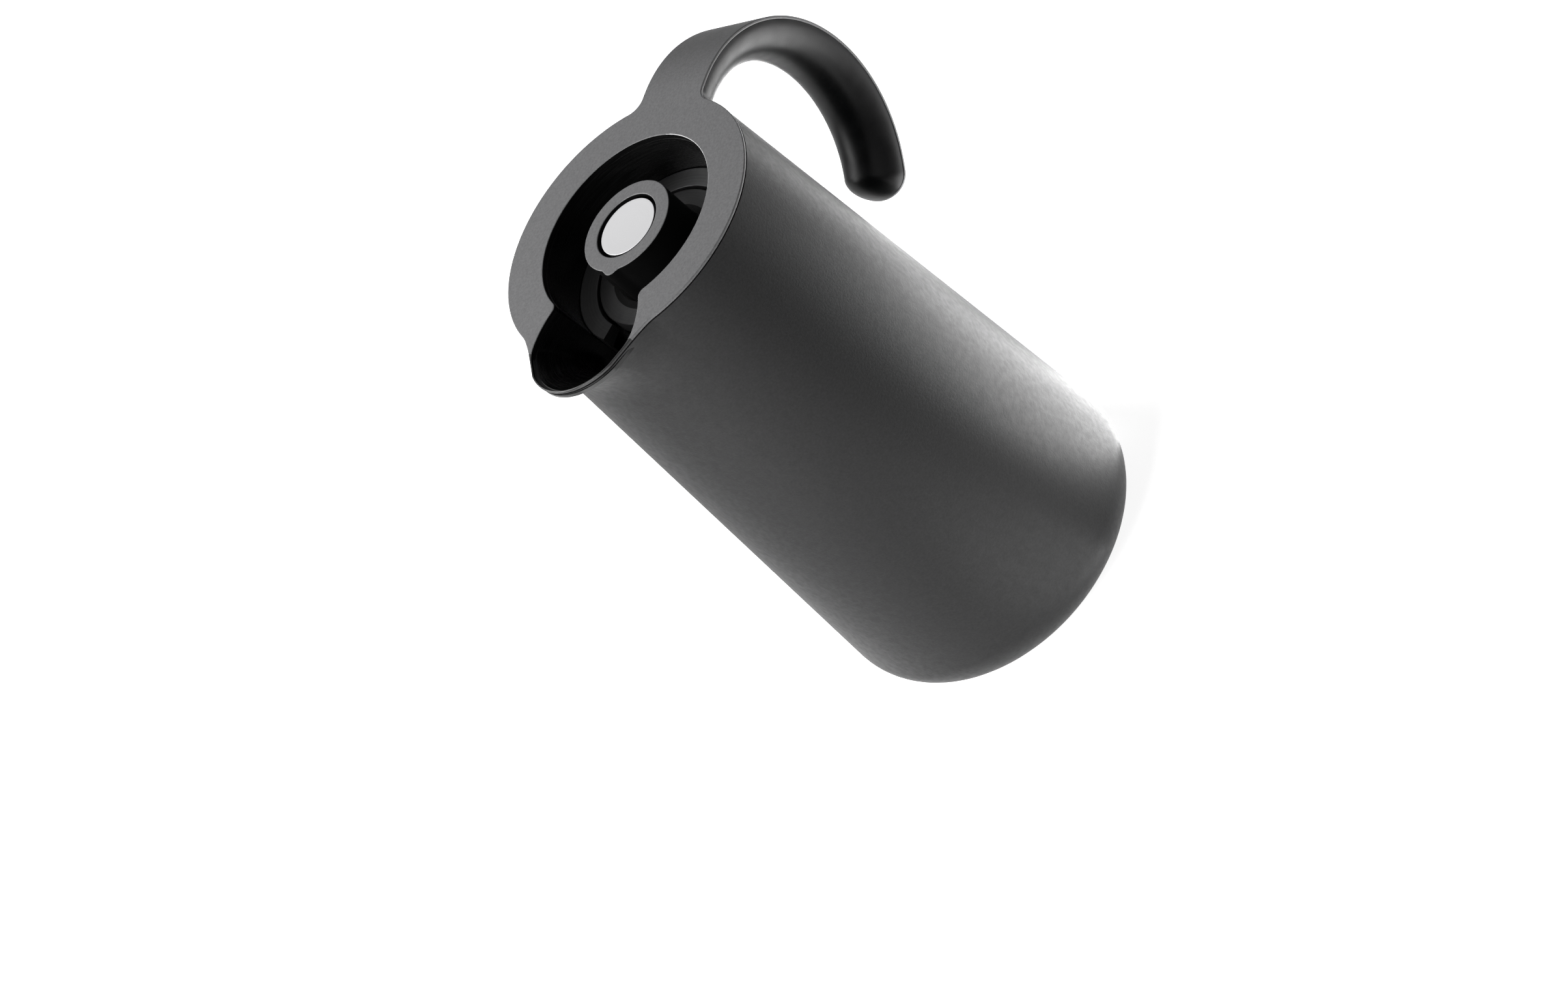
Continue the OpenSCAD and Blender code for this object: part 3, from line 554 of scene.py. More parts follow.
def steel_jacket():
    round_z = steel_lift + base_round
    round_x = (foot_r * math.cos(lean) - base_round - round_z * math.sin(lean)) / math.cos(lean)
    press_levels = seam_z - press_h * np.linspace(0, 1, 27)
    wall_levels = np.linspace(press_levels[-1], round_z + base_round * math.sin(lean), 14)[1:]

    def rings(skin):
        out = [jacket_ring(skin, z) for z in np.concatenate([press_levels, wall_levels])]
        angles = np.arctan2(out[-1][:, 1], out[-1][:, 0])
        base = list(arc((round_x, round_z), base_round - skin, lean, -math.pi / 2, 6.0)[1:])
        return out + [level(polar(r, angles), z) for r, z in base + [(base_hole_r, steel_lift + skin)]]

    return from_rings("steel_jacket", rings(0.0) + rings(steel_t)[::-1], loop=True)


place_piece(steel_jacket(), COAT, "jug", "body_shell")


# Top plate with the band over the handle
def handle_place(angle, out, y):
    """Point at a distance from the handle curve's centre; angle zero is where the band leaves the plate."""
    sink = handle_r - out
    return (handle_x + out * math.sin(angle), y, top_z - handle_drop + (handle_drop - sink) * math.cos(angle))


def handle_stations(n, end_n=16):
    """Stations along the handle: angle, share of the way to its end, share of the size left by the dome."""
    end_turn = handle_end_round / handle_r
    full_turn = handle_turn - end_turn
    out = [(angle, angle / full_turn, 1.0) for angle in np.linspace(0, full_turn, n)]
    for u in np.sin(np.linspace(0, dome_turn, end_n))[1:]:
        out.append((full_turn + end_turn * u, 1.0, math.sqrt(1 - u * u)))
    return out


def top_plate():
    bm = bmesh.new()
    edge = round_over(plate_round)[::-1]
    edge_skin = edge + [(inset, plate_edge_t - drop) for inset, drop in edge[::-1]]
    rows = []
    for inset, drop in edge_skin:
        half = plate_half(inset)
        whole = np.concatenate([half, (half[::-1] * [1, -1])[1:]])
        rows.append(corners(bm, level(whole, top_z - drop)))
    quads(bm, rows, closed=False)
    hole_rows = [corners(bm, level(mirrored(keyhole_half(inset)), top_z - drop))
                 for inset, drop in edge + [(0.0, top_z - plate_low_z)]]
    quads(bm, hole_rows)
    fill_between(bm, rows[0], hole_rows[0])
    # Underside: the thin edge, a step inside the steel, and the thicker middle
    step = [corners(bm, level(under_plate(step_r, step_gap), z)) for z in (top_z - plate_edge_t, plate_low_z)]
    quads(bm, step)
    fill_between(bm, rows[-1], step[0])
    fill_between(bm, step[1], hole_rows[-1])
    # Band: the plate's end section carried on round the handle
    section = [(band_half_w - inset, drop) for inset, drop in edge_skin]
    section += [(-y, drop) for y, drop in section[::-1]]
    last = [row[0] for row in rows] + [row[-1] for row in rows[::-1]]
    for angle, t, share in handle_stations(band_stations)[1:]:
        narrow = (1 + (band_end_half_w / band_half_w - 1) * t) * share
        ring = corners(bm, [handle_place(angle, handle_r - drop, y * narrow) for y, drop in section])
        quads(bm, [last, ring])
        last = ring
    bm.faces.new(last)
    return finished(bm, "top_plate_and_band", 50.0)


def plate_finish(centre, normal):
    """Grey on top and round the band, black on the keyhole's wall and the bare lip, a pale painted highlight
    on its near edge.
    """
    side = centre.xy if centre.x > neck_c[0] else centre.xy + Vector((trough_in_x, 0))
    in_hole = centre.x < grip_root_x and normal.z < nearly_flat and side.dot(normal.xy) < 0
    if centre.x < lip_bare_x or in_hole and abs(normal.z) < nearly_upright:
        return 1
    # The keyhole's rounded edge, where it faces left, gets the painted highlight
    return 2 if in_hole and normal.y > faces_left else 0


plate = place_piece(top_plate(), PLATE, "jug", "top_plate")
finish_by_place(plate, [PLATE, BOWL, PAINTED_HIGHLIGHT], plate_finish)


# Node trees that make meshes
def mesh_tree(name, sizes):
    """Geometry node tree with named inputs for its sizes and its finish; returns the tree and its inputs."""
    tree = bpy.data.node_groups.new(name, "GeometryNodeTree")
    tree.interface.new_socket("Geometry", in_out="INPUT", socket_type="NodeSocketGeometry")
    for size in sizes:
        tree.interface.new_socket(size, in_out="INPUT", socket_type="NodeSocketFloat")
    tree.interface.new_socket("Finish", in_out="INPUT", socket_type="NodeSocketMaterial")
    tree.interface.new_socket("Geometry", in_out="OUTPUT", socket_type="NodeSocketGeometry")
    return tree, add(tree, "NodeGroupInput").node.outputs


def finish_tree(tree, given, geometry):
    real = add(tree, "GeometryNodeRealizeInstances", {"Geometry": geometry})
    done = add(tree, "GeometryNodeSetMaterial", {"Geometry": real, "Material": given["Finish"]})
    add(tree, "NodeGroupOutput", {"Geometry": done})
    return tree


def made_by_tree(name, tree, finish, sizes, start=None):
    """Plain mesh object that a tree makes from its sizes and, where it needs one, from a starting mesh."""
    obj = put(name, start or bpy.data.meshes.new(name))
    modifier = obj.modifiers.new(name, "NODES")
    modifier.node_group = tree
    values = dict(sizes, Finish=finish)
    for item in tree.interface.items_tree:
        if item.in_out == "INPUT" and item.name in values:
            modifier[item.identifier] = values[item.name]
    seen = obj.evaluated_get(bpy.context.evaluated_depsgraph_get())
    made = bpy.data.meshes.new_from_object(seen)
    obj.modifiers.remove(modifier)
    obj.data = made
    return obj


# Round grip under the band
def grip_curve(half_w, depth):
    """Half oval under the band and back along it, from one seam to the other: (y, depth below the band)."""
    v = np.linspace(0, 1, grip_cells + 1)[:-1]
    a = np.clip(v / (1 - grip_back_share), 0, 1) * math.pi
    back = np.clip((v - 1 + grip_back_share) / grip_back_share, 0, 1) * 2
    return np.stack([half_w * (np.cos(a) + back), depth * np.sin(a)], 1)


def bar_tree():
    """Half oval bar swept round the handle's curve: its section changes evenly and ends in a dome."""
    sizes = ["Reach", "Drop", "Turn", "End length", "Half width", "End half width", "Depth", "End depth",
             "Band thickness"]
    tree, given = mesh_tree("swept bar", sizes)
    sheet = add(tree, "GeometryNodeMeshGrid", {
        "Size X": 1.0, "Size Y": 1.0, "Vertices X": grip_stations, "Vertices Y": grip_cells + 1})
    place = add(tree, "ShaderNodeSeparateXYZ", {0: add(tree, "GeometryNodeInputPosition")}).node.outputs
    arc_end, oval_end = 0.3, 0.5 - grip_back_share
    value = {size: given[size] for size in sizes}
    for name, axis, low, high, most in (
            ("along", "X", -0.5, arc_end, 1.0), ("dome", "X", arc_end, 0.5, dome_turn),
            ("oval", "Y", -0.5, oval_end, math.pi), ("back", "Y", oval_end, 0.5, 2.0)):
        value[name] = add(tree, "ShaderNodeMapRange", {
            "Value": place[axis], "From Min": low, "From Max": high, "To Max": most})
    for name, first, last in (
            ("half width", "Half width", "End half width"), ("depth", "Depth", "End depth")):
        value[name] = add(tree, "ShaderNodeMapRange", {
            "Value": value["along"], "To Min": given[first], "To Max": given[last]})
    for name, operation, *taken in (
            ("end turn", "DIVIDE", "End length", "Reach"), ("full turn", "SUBTRACT", "Turn", "end turn"),
            ("turned by", "MULTIPLY", "along", "full turn"), ("dome sine", "SINE", "dome"),
            ("share", "COSINE", "dome"), ("oval sine", "SINE", "oval"), ("oval cosine", "COSINE", "oval"),
            ("angle", "MULTIPLY_ADD", "dome sine", "end turn", "turned by"),
            ("across", "ADD", "oval cosine", "back"), ("below", "MULTIPLY", "oval sine", "depth"),
            ("inset", "MULTIPLY_ADD", "below", "share", "Band thickness"),
            ("wide", "MULTIPLY", "half width", "share"), ("reach", "SUBTRACT", "Reach", "inset"),
            ("hang", "SUBTRACT", "Drop", "inset"), ("angle sine", "SINE", "angle"),
            ("angle cosine", "COSINE", "angle"), ("X", "MULTIPLY", "reach", "angle sine"),
            ("Y", "MULTIPLY", "wide", "across"), ("Z", "MULTIPLY", "hang", "angle cosine")):
        value[name] = add(tree, "ShaderNodeMath", {i: value[t] for i, t in enumerate(taken)},
                          operation=operation)
    position = add(tree, "ShaderNodeCombineXYZ", {axis: value[axis] for axis in "XYZ"})
    return finish_tree(tree, given, add(tree, "GeometryNodeSetPosition", {
        "Geometry": sheet, "Position": position}))


def grip():
    """The swept bar, carried on into the plate's root by straight sections that widen as the root does."""
    under = plate_edge_t + band_gap
    bar = made_by_tree("swept_grip", bar_tree(), GRIP, {
        "Reach": handle_r * MM, "Drop": handle_drop * MM, "Turn": handle_turn,
        "End length": handle_end_round * MM, "Half width": (band_half_w - grip_seam) * MM,
        "End half width": (band_end_half_w - grip_seam) * MM, "Depth": grip_depth * MM,
        "End depth": grip_end_depth * MM, "Band thickness": under * MM})
    bar.data.transform(Matrix.Translation(Vector((handle_x, 0, top_z - handle_drop)) * MM))
    rings = []
    for x in np.linspace(grip_root_x, handle_x, 15):
        reach = max(root_c[0] - x, 0.0)
        half_w = root_c[1] - math.sqrt(max(handle_blend_r ** 2 - reach ** 2, 0.0))
        half_w = min(half_w, band_half_w + grip_root_flare) - grip_seam
        rings.append([(x, y, top_z - under - d) for y, d in grip_curve(half_w, grip_depth)])
    root = mesh_object("grip_root", np.concatenate(rings), strips(rings))
    bm = bmesh.new()
    for part in (bar, root):
        bm.from_mesh(part.data)
        bpy.data.objects.remove(part)
    bmesh.ops.remove_doubles(bm, verts=bm.verts, dist=1e-5)
    bmesh.ops.holes_fill(bm, edges=bm.edges, sides=0)
    return finished(bm, "round_grip", 50.0)


place_piece(grip(), GRIP, "jug", "handle_grip")


# Pouring bowl
def bowl_ring(grow, z):
    """Keyhole outline at a level: the bowl has a little draft, the trough runs back to the bowl's floor."""
    t = np.clip((top_z - plate_edge_t - z) / (top_z - plate_edge_t - floor_z), 0, 1)
    run = 1 - (1 - t) ** trough_bend
    plan = mirrored(keyhole_half(grow))
    share = np.clip((-plan[:, 0] + neck_c[0] + trough_from) / trough_blend_w, 0, 1)
    goal = np.column_stack([(plan[:, 0] + trough_in_x) * trough_x_share - trough_in_x,
                            plan[:, 1] * trough_y_share])
    out = plan + (goal - plan) * (run * share)[:, None]
    reach = reach_of(plan)
    pull = 1 - bowl_draft * t / reach * (1 - share)
    return level(out * pull[:, None], z)


def pouring_bowl():
    bm = bmesh.new()
    inside = [corners(bm, bowl_ring(0.0, z)) for z in np.linspace(plate_low_z, floor_z, 29)]
    quads(bm, inside)
    tube_low = neck_low_z + neck_lip
    tube = [corners(bm, level(circle_points(r, 96), z)) for r, z in (
        (neck_r, floor_z), (neck_r, tube_low), (neck_r - neck_lip, tube_low), (neck_r - neck_lip, neck_low_z),
        (neck_r + neck_wall_t, neck_low_z), (neck_r + neck_wall_t, floor_z - bowl_floor_t))]
    quads(bm, tube)
    fill_between(bm, inside[-1], tube[0])
    outside = []
    for z in np.linspace(floor_z - bowl_floor_t, plate_low_z - bowl_flange_t, 12):
        outside.append(corners(bm, bowl_ring(trough_wall_t, max(z, floor_z)) * [1, 1, 0] + [0, 0, z]))
    quads(bm, outside)
    fill_between(bm, outside[0], tube[-1])
    rim = under_plate(step_r, trough_wall_t + play)
    flange = [corners(bm, level(rim, z)) for z in (plate_low_z - bowl_flange_t, plate_low_z - 0.02)]
    quads(bm, flange)
    fill_between(bm, outside[-1], flange[0])
    fill_between(bm, flange[1], inside[0])
    return finished(bm, "pouring_bowl")


place_piece(pouring_bowl(), BOWL, "jug", "pour_bowl")


def collar():
    """Sloping ring at the bowl's foot, cut by a notch with parallel sides."""
    low_z, foot_z = collar_in_z - collar_t, floor_z + 0.05
    out_r = bowl_r - play - bowl_draft * 0.7
    neck_out_r = out_r - 0.5
    profile = rounded([(collar_in_r, low_z), (neck_out_r, low_z), (neck_out_r, foot_z), (out_r, foot_z),
                       (out_r, collar_out_z), (collar_in_r, collar_in_z)], [0.3, 0, 0, 0, 0.35, 0.5])
    steps = 160
    rings = []
    for k in range(steps + 1):
        share = 2 * k / steps - 1
        ring = []
        for r, z in profile:
            a = share * (math.pi - math.asin(notch_half_w / r))
            ring.append((r * math.cos(a), r * math.sin(a), z))
        rings.append(ring)
    return from_rings("bowl_collar", rings, 30.0)


place_piece(collar(), COLLAR, "jug", "neck_collar")


# Stopper
def post_outline(inset):
    """Circle of the post with a smooth pointer towards the spout."""
    a = all_round()
    off = np.clip(np.abs(a - math.pi) * post_r / pointer_half_base, 0, 1)
    return polar(post_r - inset + pointer_out * (0.5 + 0.5 * np.cos(math.pi * off)) ** pointer_power, a)


def post_and_flange():
    """One moulding: flange with its rim, post and pointer, and the well round the button."""
    edge = round_over(post_edge)
    inner_r = flange_r - cap_wall
    rings = [level(circle_points(r), z) for r, z in (
        (guide_r, plug_top_z), (inner_r, plug_top_z), (inner_r, cap_low_z), (flange_r, cap_low_z))]
    rings += [level(circle_points(flange_r - inset), flange_top_z - drop) for inset, drop in edge]
    rings += [level(circle_points(post_r + post_foot_w), flange_top_z)]
    rings += [level(post_outline(drop - post_fillet), flange_top_z + inset)
              for inset, drop in round_over(post_fillet)[::-1]]
    rings += [level(post_outline(inset), post_top_z - drop) for inset, drop in edge]
    rings += [level(circle_points(button_hole_r + inset), post_top_z - drop) for inset, drop in edge[::-1]]
    rings += [level(circle_points(r), guide_top_z) for r in (button_hole_r, guide_r)]
    return from_rings("post_and_flange", rings, loop=True)


def post_finish(centre, normal):
    """Lacquered top ring, turned flange, matt black sides."""
    ring_h, upward, fillet_h = 0.5, 0.3, 0.1
    if centre.z > post_top_z - ring_h and normal.z > upward:
        return 0
    return 1 if centre.z < flange_top_z + fillet_h else 2


stopper_top = place_piece(post_and_flange(), PLATE, "stopper", "stopper_cap")
finish_by_place(stopper_top, [PLATE, COLLAR, POST_SIDE], post_finish)


def button():
    """Flat drum with a hollow of a tenth of a millimetre for the thumb."""
    profile = [(0, plunger_top_z), (button_r, plunger_top_z)]
    profile += [(button_r - inset, button_top_z - drop) for inset, drop in round_over(button_edge, 3)]
    profile += [(button_r * s, button_top_z - button_dish * (1 - s * s)) for s in np.linspace(0.9, 0, 7)]
    return turned("push_button", profile, steps=160)


place_piece(button(), BUTTON, "button", "button_cap")


# Dark soft ring in the seam, open under the handle's band
def seam_ring():
    recess, depth, bulge = 0.2, 0.7, 0.15
    outline = mirrored(rim_half(plate_r - mouth_r + recess))
    angles = np.arctan2(outline[:, 1], outline[:, 0]) % (2 * math.pi)
    outline = outline[np.argsort(angles)]
    outline = outline[(np.abs(outline[:, 1]) > band_half_w) | (outline[:, 0] < 0)]
    reach = reach_of(outline)[:, None]
    profile = [(depth, seam_z), (bulge, seam_z), (0.0, (seam_z + seam_low_z) / 2), (bulge, seam_low_z),
               (depth, seam_low_z)]
    rings = [level(outline * (1 - inset / reach), z) for inset, z in profile]
    n = len(outline)
    faces = strips(rings, closed=False, loop=True)
    faces += [tuple(k * n for k in range(len(rings))), tuple(k * n + n - 1 for k in range(len(rings)))]
    return mesh_object("seam_ring", np.concatenate(rings), faces, 60.0)


place_piece(seam_ring(), RUBBER, "jug", "rim_gasket")


# Turned pieces: flask, neck, base, plug and valve
def node_ring(name, node, wall, corner_r, more=()):
    """Turned ring in a node's place; more are points of its outer side, (inset, height) in millimetres."""
    out_r, z0, z1 = span(node)
    profile = [(out_r - wall, z0), (out_r, z0)] + [(out_r - inset, z0 + up) for inset, up in more]
    return turned(name, profile + [(out_r, z1), (out_r - wall, z1)], corner_r, 128)


flask_r, flask_corner_r, flask_neck_r, glass_t, vacuum_w = 50.0, 14.0, 19.0, 1.6, 2.5
lip_top_z = highest("liner_inner")[2]
flask_z = lowest("liner_inner")[2] + glass_t
outer_skin = glass_t + vacuum_w
shoulder_h, glass_neck_h = 34.0, 22.0
shoulder_z = lip_top_z - glass_neck_h - shoulder_h


def glass_line(skin):
    """One glass surface: flat bottom, round corner, wall, S-shaped shoulder and neck."""
    corner = arc((flask_r - flask_corner_r, flask_z + flask_corner_r), flask_corner_r + skin, -math.pi / 2, 0)
    t = np.linspace(0, 1, 33)
    fall = (1 - np.cos(math.pi * t)) / 2
    shoulder = np.stack([flask_r + skin + (flask_neck_r - flask_r) * fall, shoulder_z + shoulder_h * t], 1)
    return [(0.0, flask_z - skin)] + [tuple(p) for p in chain(corner, shoulder)]


def inner_glass():
    """Inner wall of the flask with its rounded lip."""
    skin_r, low_z = flask_neck_r + glass_t, lip_top_z - glass_t
    lip = arc((skin_r + vacuum_w, low_z), glass_t, -math.pi / 2, math.pi / 2, 15.0)
    mouth = arc((skin_r, low_z), glass_t, math.pi / 2, math.pi, 15.0)
    rim = [(skin_r, low_z - glass_t)] + [tuple(p) for p in chain(lip, mouth)]
    return turned("inner_glass", glass_line(glass_t) + rim + glass_line(0.0)[::-1], steps=160)


def outer_glass():
    """Outer wall of the flask with the sealed tip it was pumped through."""
    rim_r, rim_z = flask_neck_r + outer_skin + glass_t, lip_top_z - 2 * glass_t
    tip_z = lowest("liner_outer")[2]
    tip = [(0.0, tip_z), (0.7, tip_z + 0.2), (1.0, tip_z + 0.8), (1.7, tip_z + 3.0), (3.0, tip_z + 5.98)]
    rim = [(rim_r, rim_z), (rim_r - glass_t, rim_z)]
    profile = tip + glass_line(outer_skin + glass_t)[1:] + rim + glass_line(outer_skin)[::-1]
    return turned("outer_glass", profile, steps=160)


place_piece(inner_glass(), GLASS, "jug", "liner_inner")
place_piece(outer_glass(), GLASS, "jug", "liner_outer")
place_piece(node_ring("soft_neck_ring", "neck_gasket", wall=4.2, corner_r=1.0),
            SOFT, "jug", "neck_gasket")
place_piece(node_ring("flask_cushion", "base_cushion", wall=8.0, corner_r=1.5),
            RUBBER, "jug", "base_cushion")

# Base: foot ring with two grooves, cover with its grip recess
cover_z, cover_r, cover_top_z = lowest("base_cover")[2], highest("base_cover")[0], highest("base_cover")[2]
cover_t, recess_r, recess_top_z = 2.8, 23.97, cover_z + 4.0
thread_r, thread_depth, thread_pitch = 40.47, 0.5, 2.0
foot_out_r, foot_in_r, groove_top_z = 39.97, 35.47, highest("foot_ring")[2]


def foot():
    """Rubber ring with two grooves in the face it stands on."""
    r0, r1, z1 = foot_in_r + play, highest("foot_ring")[0], groove_top_z
    half_w, depth = 0.35, 0.5
    grooves = []
    for share in (0.36, 0.64):
        mid = r0 + (r1 - r0) * share
        grooves += [(mid - half_w, 0.0), (mid, depth), (mid + half_w, 0.0)]
    profile = [(r0, 0.0)] + grooves + [(r1, 0.0), (r1, z1), (r0, z1)]
    return turned("grooved_foot", profile, [0.5] + [0.1] * 6 + [0.5, 0.2, 0.2])


def cover():
    """Screwed cover: rim over the steel's edge, groove of the foot ring, thread wall, cup with a grip bar."""
    low, mid, root_r = cover_z, cover_z + cover_t, thread_r - thread_depth
    rim_h, thread_start, thread_end = 0.8, 2.6, 1.6
    profile = [(0.0, recess_top_z), (recess_r, recess_top_z), (recess_r, low), (foot_in_r, low),
               (foot_in_r, groove_top_z), (foot_out_r, groove_top_z), (foot_out_r, low), (cover_r, low),
               (cover_r, low + rim_h), (thread_r, low + rim_h)]
    radii = [0, 1.2, 0.8, 0.3, 0, 0, 0.3, 0.3, 0.2, 0]
    for z in np.arange(low + thread_start, cover_top_z - thread_end, thread_pitch):
        profile += [(root_r, z - thread_depth), (thread_r, z), (root_r, z + thread_depth)]
        radii += [0.1, 0.2, 0.1]
    cup_r, cup_top = recess_r + cover_t, recess_top_z + cover_t
    profile += [(root_r, cover_top_z), (thread_r - cover_t, cover_top_z), (thread_r - cover_t, mid),
                (cup_r, mid), (cup_r, cup_top), (0.0, cup_top)]
    return turned("cover_shell", profile, radii + [0.4, 0.4, 0.6, 0.6, 0.8, 0])


def cover_bar():
    """Grip bar across the recess, with rounded edges and flared ends."""
    half_w, flare, flare_len, sink, edge_r = 4.0, 1.8, 4.4, 0.4, 0.9
    reach = recess_r + sink
    x = np.linspace(-reach, reach, 61)
    y = half_w + flare * np.clip((np.abs(x) - reach + flare_len) / flare_len, 0, 1) ** 2
    root = [(0.0, recess_top_z - cover_z + 0.3)]
    rings = []
    for inset, drop in root + round_over(edge_r, 6):
        near, far = np.stack([x, y - inset], 1), np.stack([x[::-1], (inset - y)[::-1]], 1)
        rings.append(level(np.concatenate([near, far]), cover_z + drop))
    return from_rings("cover_bar", rings, 50.0)


def ring_tree():
    """Copies of a shape turned evenly round the jug's axis."""
    tree, given = mesh_tree("ring of copies", ["Count"])
    row = add(tree, "GeometryNodeMeshLine", {"Count": given["Count"], "Offset": (0.0, 0.0, 0.0)})
    step = add(tree, "ShaderNodeMath", {0: 2 * math.pi, 1: given["Count"]}, operation="DIVIDE")
    index = add(tree, "GeometryNodeInputIndex")
    turn = add(tree, "ShaderNodeMath", {0: index, 1: step}, operation="MULTIPLY")
    rotation = add(tree, "ShaderNodeCombineXYZ", {"Z": turn})
    ring = add(tree, "GeometryNodeInstanceOnPoints", {
        "Points": row, "Instance": given["Geometry"], "Rotation": rotation})
    return finish_tree(tree, given, ring)


RING_OF_COPIES = ring_tree()


def copies(name, part, count, finish):
    """Count copies of a part round the axis, as one object; the single part goes."""
    made = made_by_tree(name, RING_OF_COPIES, finish, {"Count": float(count)}, part.data)
    bpy.data.objects.remove(part)
    return soften(made)


def grip_ribs():
    """Half-round ribs on the recess wall, for finger tips."""
    rib_r, sink, short, count = 0.45, 0.1, 0.9, 60
    plan = polar(rib_r, np.linspace(math.pi / 2, 1.5 * math.pi, 7)) + [recess_r + sink, 0]
    rib = from_rings("rib", [level(plan, z) for z in (cover_z + short, recess_top_z - short)])
    return copies("grip_ribs", rib, count, INNER)


place_piece(foot(), RUBBER, "jug", "foot_ring")
place_piece(join("screw_cover", cover(), cover_bar(), grip_ribs()),
            INNER, "jug", "base_cover")


# Plug with its four windows, seals and valve
def cut(obj, cutter):
    """Takes the cutter's shape out of an object and removes the cutter."""
    boolean = obj.modifiers.new("cut", "BOOLEAN")
    boolean.operation, boolean.solver, boolean.object = "DIFFERENCE", "EXACT", cutter
    obj.modifiers.remove(obj.modifiers["large faces lead"])
    made = bpy.data.meshes.new_from_object(obj.evaluated_get(bpy.context.evaluated_depsgraph_get()))
    obj.modifiers.clear()
    obj.data = made
    bpy.data.objects.remove(cutter)
    return soften(obj, 35.0)


def plug():
    """Plug with a wide and a thin part, a guide for the rod, and four windows above the bowl's floor."""
    flange_low, bore, wide_r, thin_r, wall = plug_top_z - 2.5, 2.58, 20.7, 17.2, 2.2
    low_z, bend_z = lowest("stopper_plug")[2], top_z - 43.6
    flange_out, hub_r, hub_low = flange_r - cap_wall - play, bore + 2.5, flange_low - 12.0
    profile = [(bore, hub_low), (bore, plug_top_z), (flange_out, plug_top_z), (flange_out, flange_low),
               (wide_r, flange_low), (wide_r, bend_z), (thin_r, bend_z), (thin_r, low_z),
               (thin_r - wall, low_z), (thin_r - wall, bend_z + wall), (wide_r - wall, bend_z + wall),
               (wide_r - wall, flange_low), (hub_r, flange_low), (hub_r, hub_low)]
    radii = [0.3, 0, 0.4, 0.4, 0.6, 0.6, 0.3, 0.6, 0.4, 0.8, 0.3, 0.6, 0.8, 0.5]
    body = turned("windowed_plug", profile, radii, 160)
    # Each window is cut from just outside the guide to well past the wall
    x0, x1, half_w, corner_r, sill = hub_r + 1, wide_r + 4, 8.0, 1.5, 0.3
    opening = rounded([(x0, -half_w), (x1, -half_w), (x1, half_w), (x0, half_w)], corner_r, 30.0)
    window = from_rings("window", [level(opening, z) for z in (floor_z + sill, flange_low - sill)])
    window.data.transform(Matrix.Rotation(math.pi / 4, 4, "Z"))
    return cut(body, copies("windows", window, 4, INNER))


place_piece(plug(), INNER, "stopper", "stopper_plug")
# A groove all round leaves the seal two lips
seal_groove = [(0.0, 0.35), (0.5, 0.7), (0.5, 1.3), (0.0, 1.65)]
place_piece(node_ring("plug_seal", "stopper_seal", wall=3.2, corner_r=0.15, more=seal_groove),
            SOFT, "seal", "stopper_seal")
place_piece(node_ring("valve_ring", "valve_seal", wall=3.5, corner_r=0.35),
            SOFT, "valve", "valve_seal")


def valve_disc():
    """Disc with a hollow in the middle and a groove near its rim, both below."""
    r, z0, z1 = span("valve_disc")
    hollow_r, hollow_h, slope = 3.2, 0.5, 0.3
    groove_in, groove_out, groove_h = r - 4.5, r - 3.1, 0.4
    profile = [(0, z0 + hollow_h), (hollow_r, z0 + hollow_h), (hollow_r + 0.4, z0), (groove_in, z0),
               (groove_in + slope, z0 + groove_h), (groove_out - slope, z0 + groove_h), (groove_out, z0),
               (r, z0), (r, z1), (0, z1)]
    return turned("valve_plate", profile, [0, 0.2, 0.2, 0.2, 0.1, 0.1, 0.2, 0.7, 0.2, 0], 128)


def valve_rod():
    head_r, z0, z1 = span("valve_rod")
    rod_r, head_z = head_r - 1.6, z1 - 2.0
    profile = [(0, z0), (rod_r, z0), (rod_r, head_z), (head_r, head_z), (head_r, z1), (0, z1)]
    return turned("valve_stem", profile, [0, 0.3, 0.3, 0.4, 0.5, 0], 64)


def plunger():
    r, z0, z1 = span("button_plunger")
    in_r, in_z = r - 2.4, z1 - 2.0
    profile = [(0, z1), (0, in_z), (in_r, in_z), (in_r, z0), (r, z0), (r, z1)]
    return turned("button_sleeve", profile, [0, 0, 0.8, 0.4, 0.4, 0.2], 128)


place_piece(valve_disc(), INNER, "valve", "valve_disc")
place_piece(valve_rod(), WIRE, "valve", "valve_rod")
place_piece(plunger(), INNER, "button", "button_plunger")


# Latch rotor, return spring and screws
def latch_rotor():
    """Toothed ring of the latch: slanted teeth under a plain ring."""
    out_r, z0, z1 = span("latch_rotor")
    count, wall, ring_h, root_h, shy = 8, 2.4, 4.0, 0.4, 0.05
    in_r, ring_z, half_w = out_r - wall, z1 - ring_h, 2 * math.pi * out_r / count / 3
    ring = turned("rotor_ring", [(in_r, ring_z), (out_r, ring_z), (out_r, z1), (in_r, z1)], 0.3, 96)
    side = [(-half_w, ring_z + root_h), (half_w, ring_z + root_h), (half_w, ring_z), (-half_w, z0)]
    sides = [[(r * math.cos(y / out_r), r * math.sin(y / out_r), z) for y, z in side]
             for r in (in_r + shy, out_r - shy)]
    return join("toothed_rotor", ring, copies("teeth", from_rings("tooth", sides), count, ACETAL))


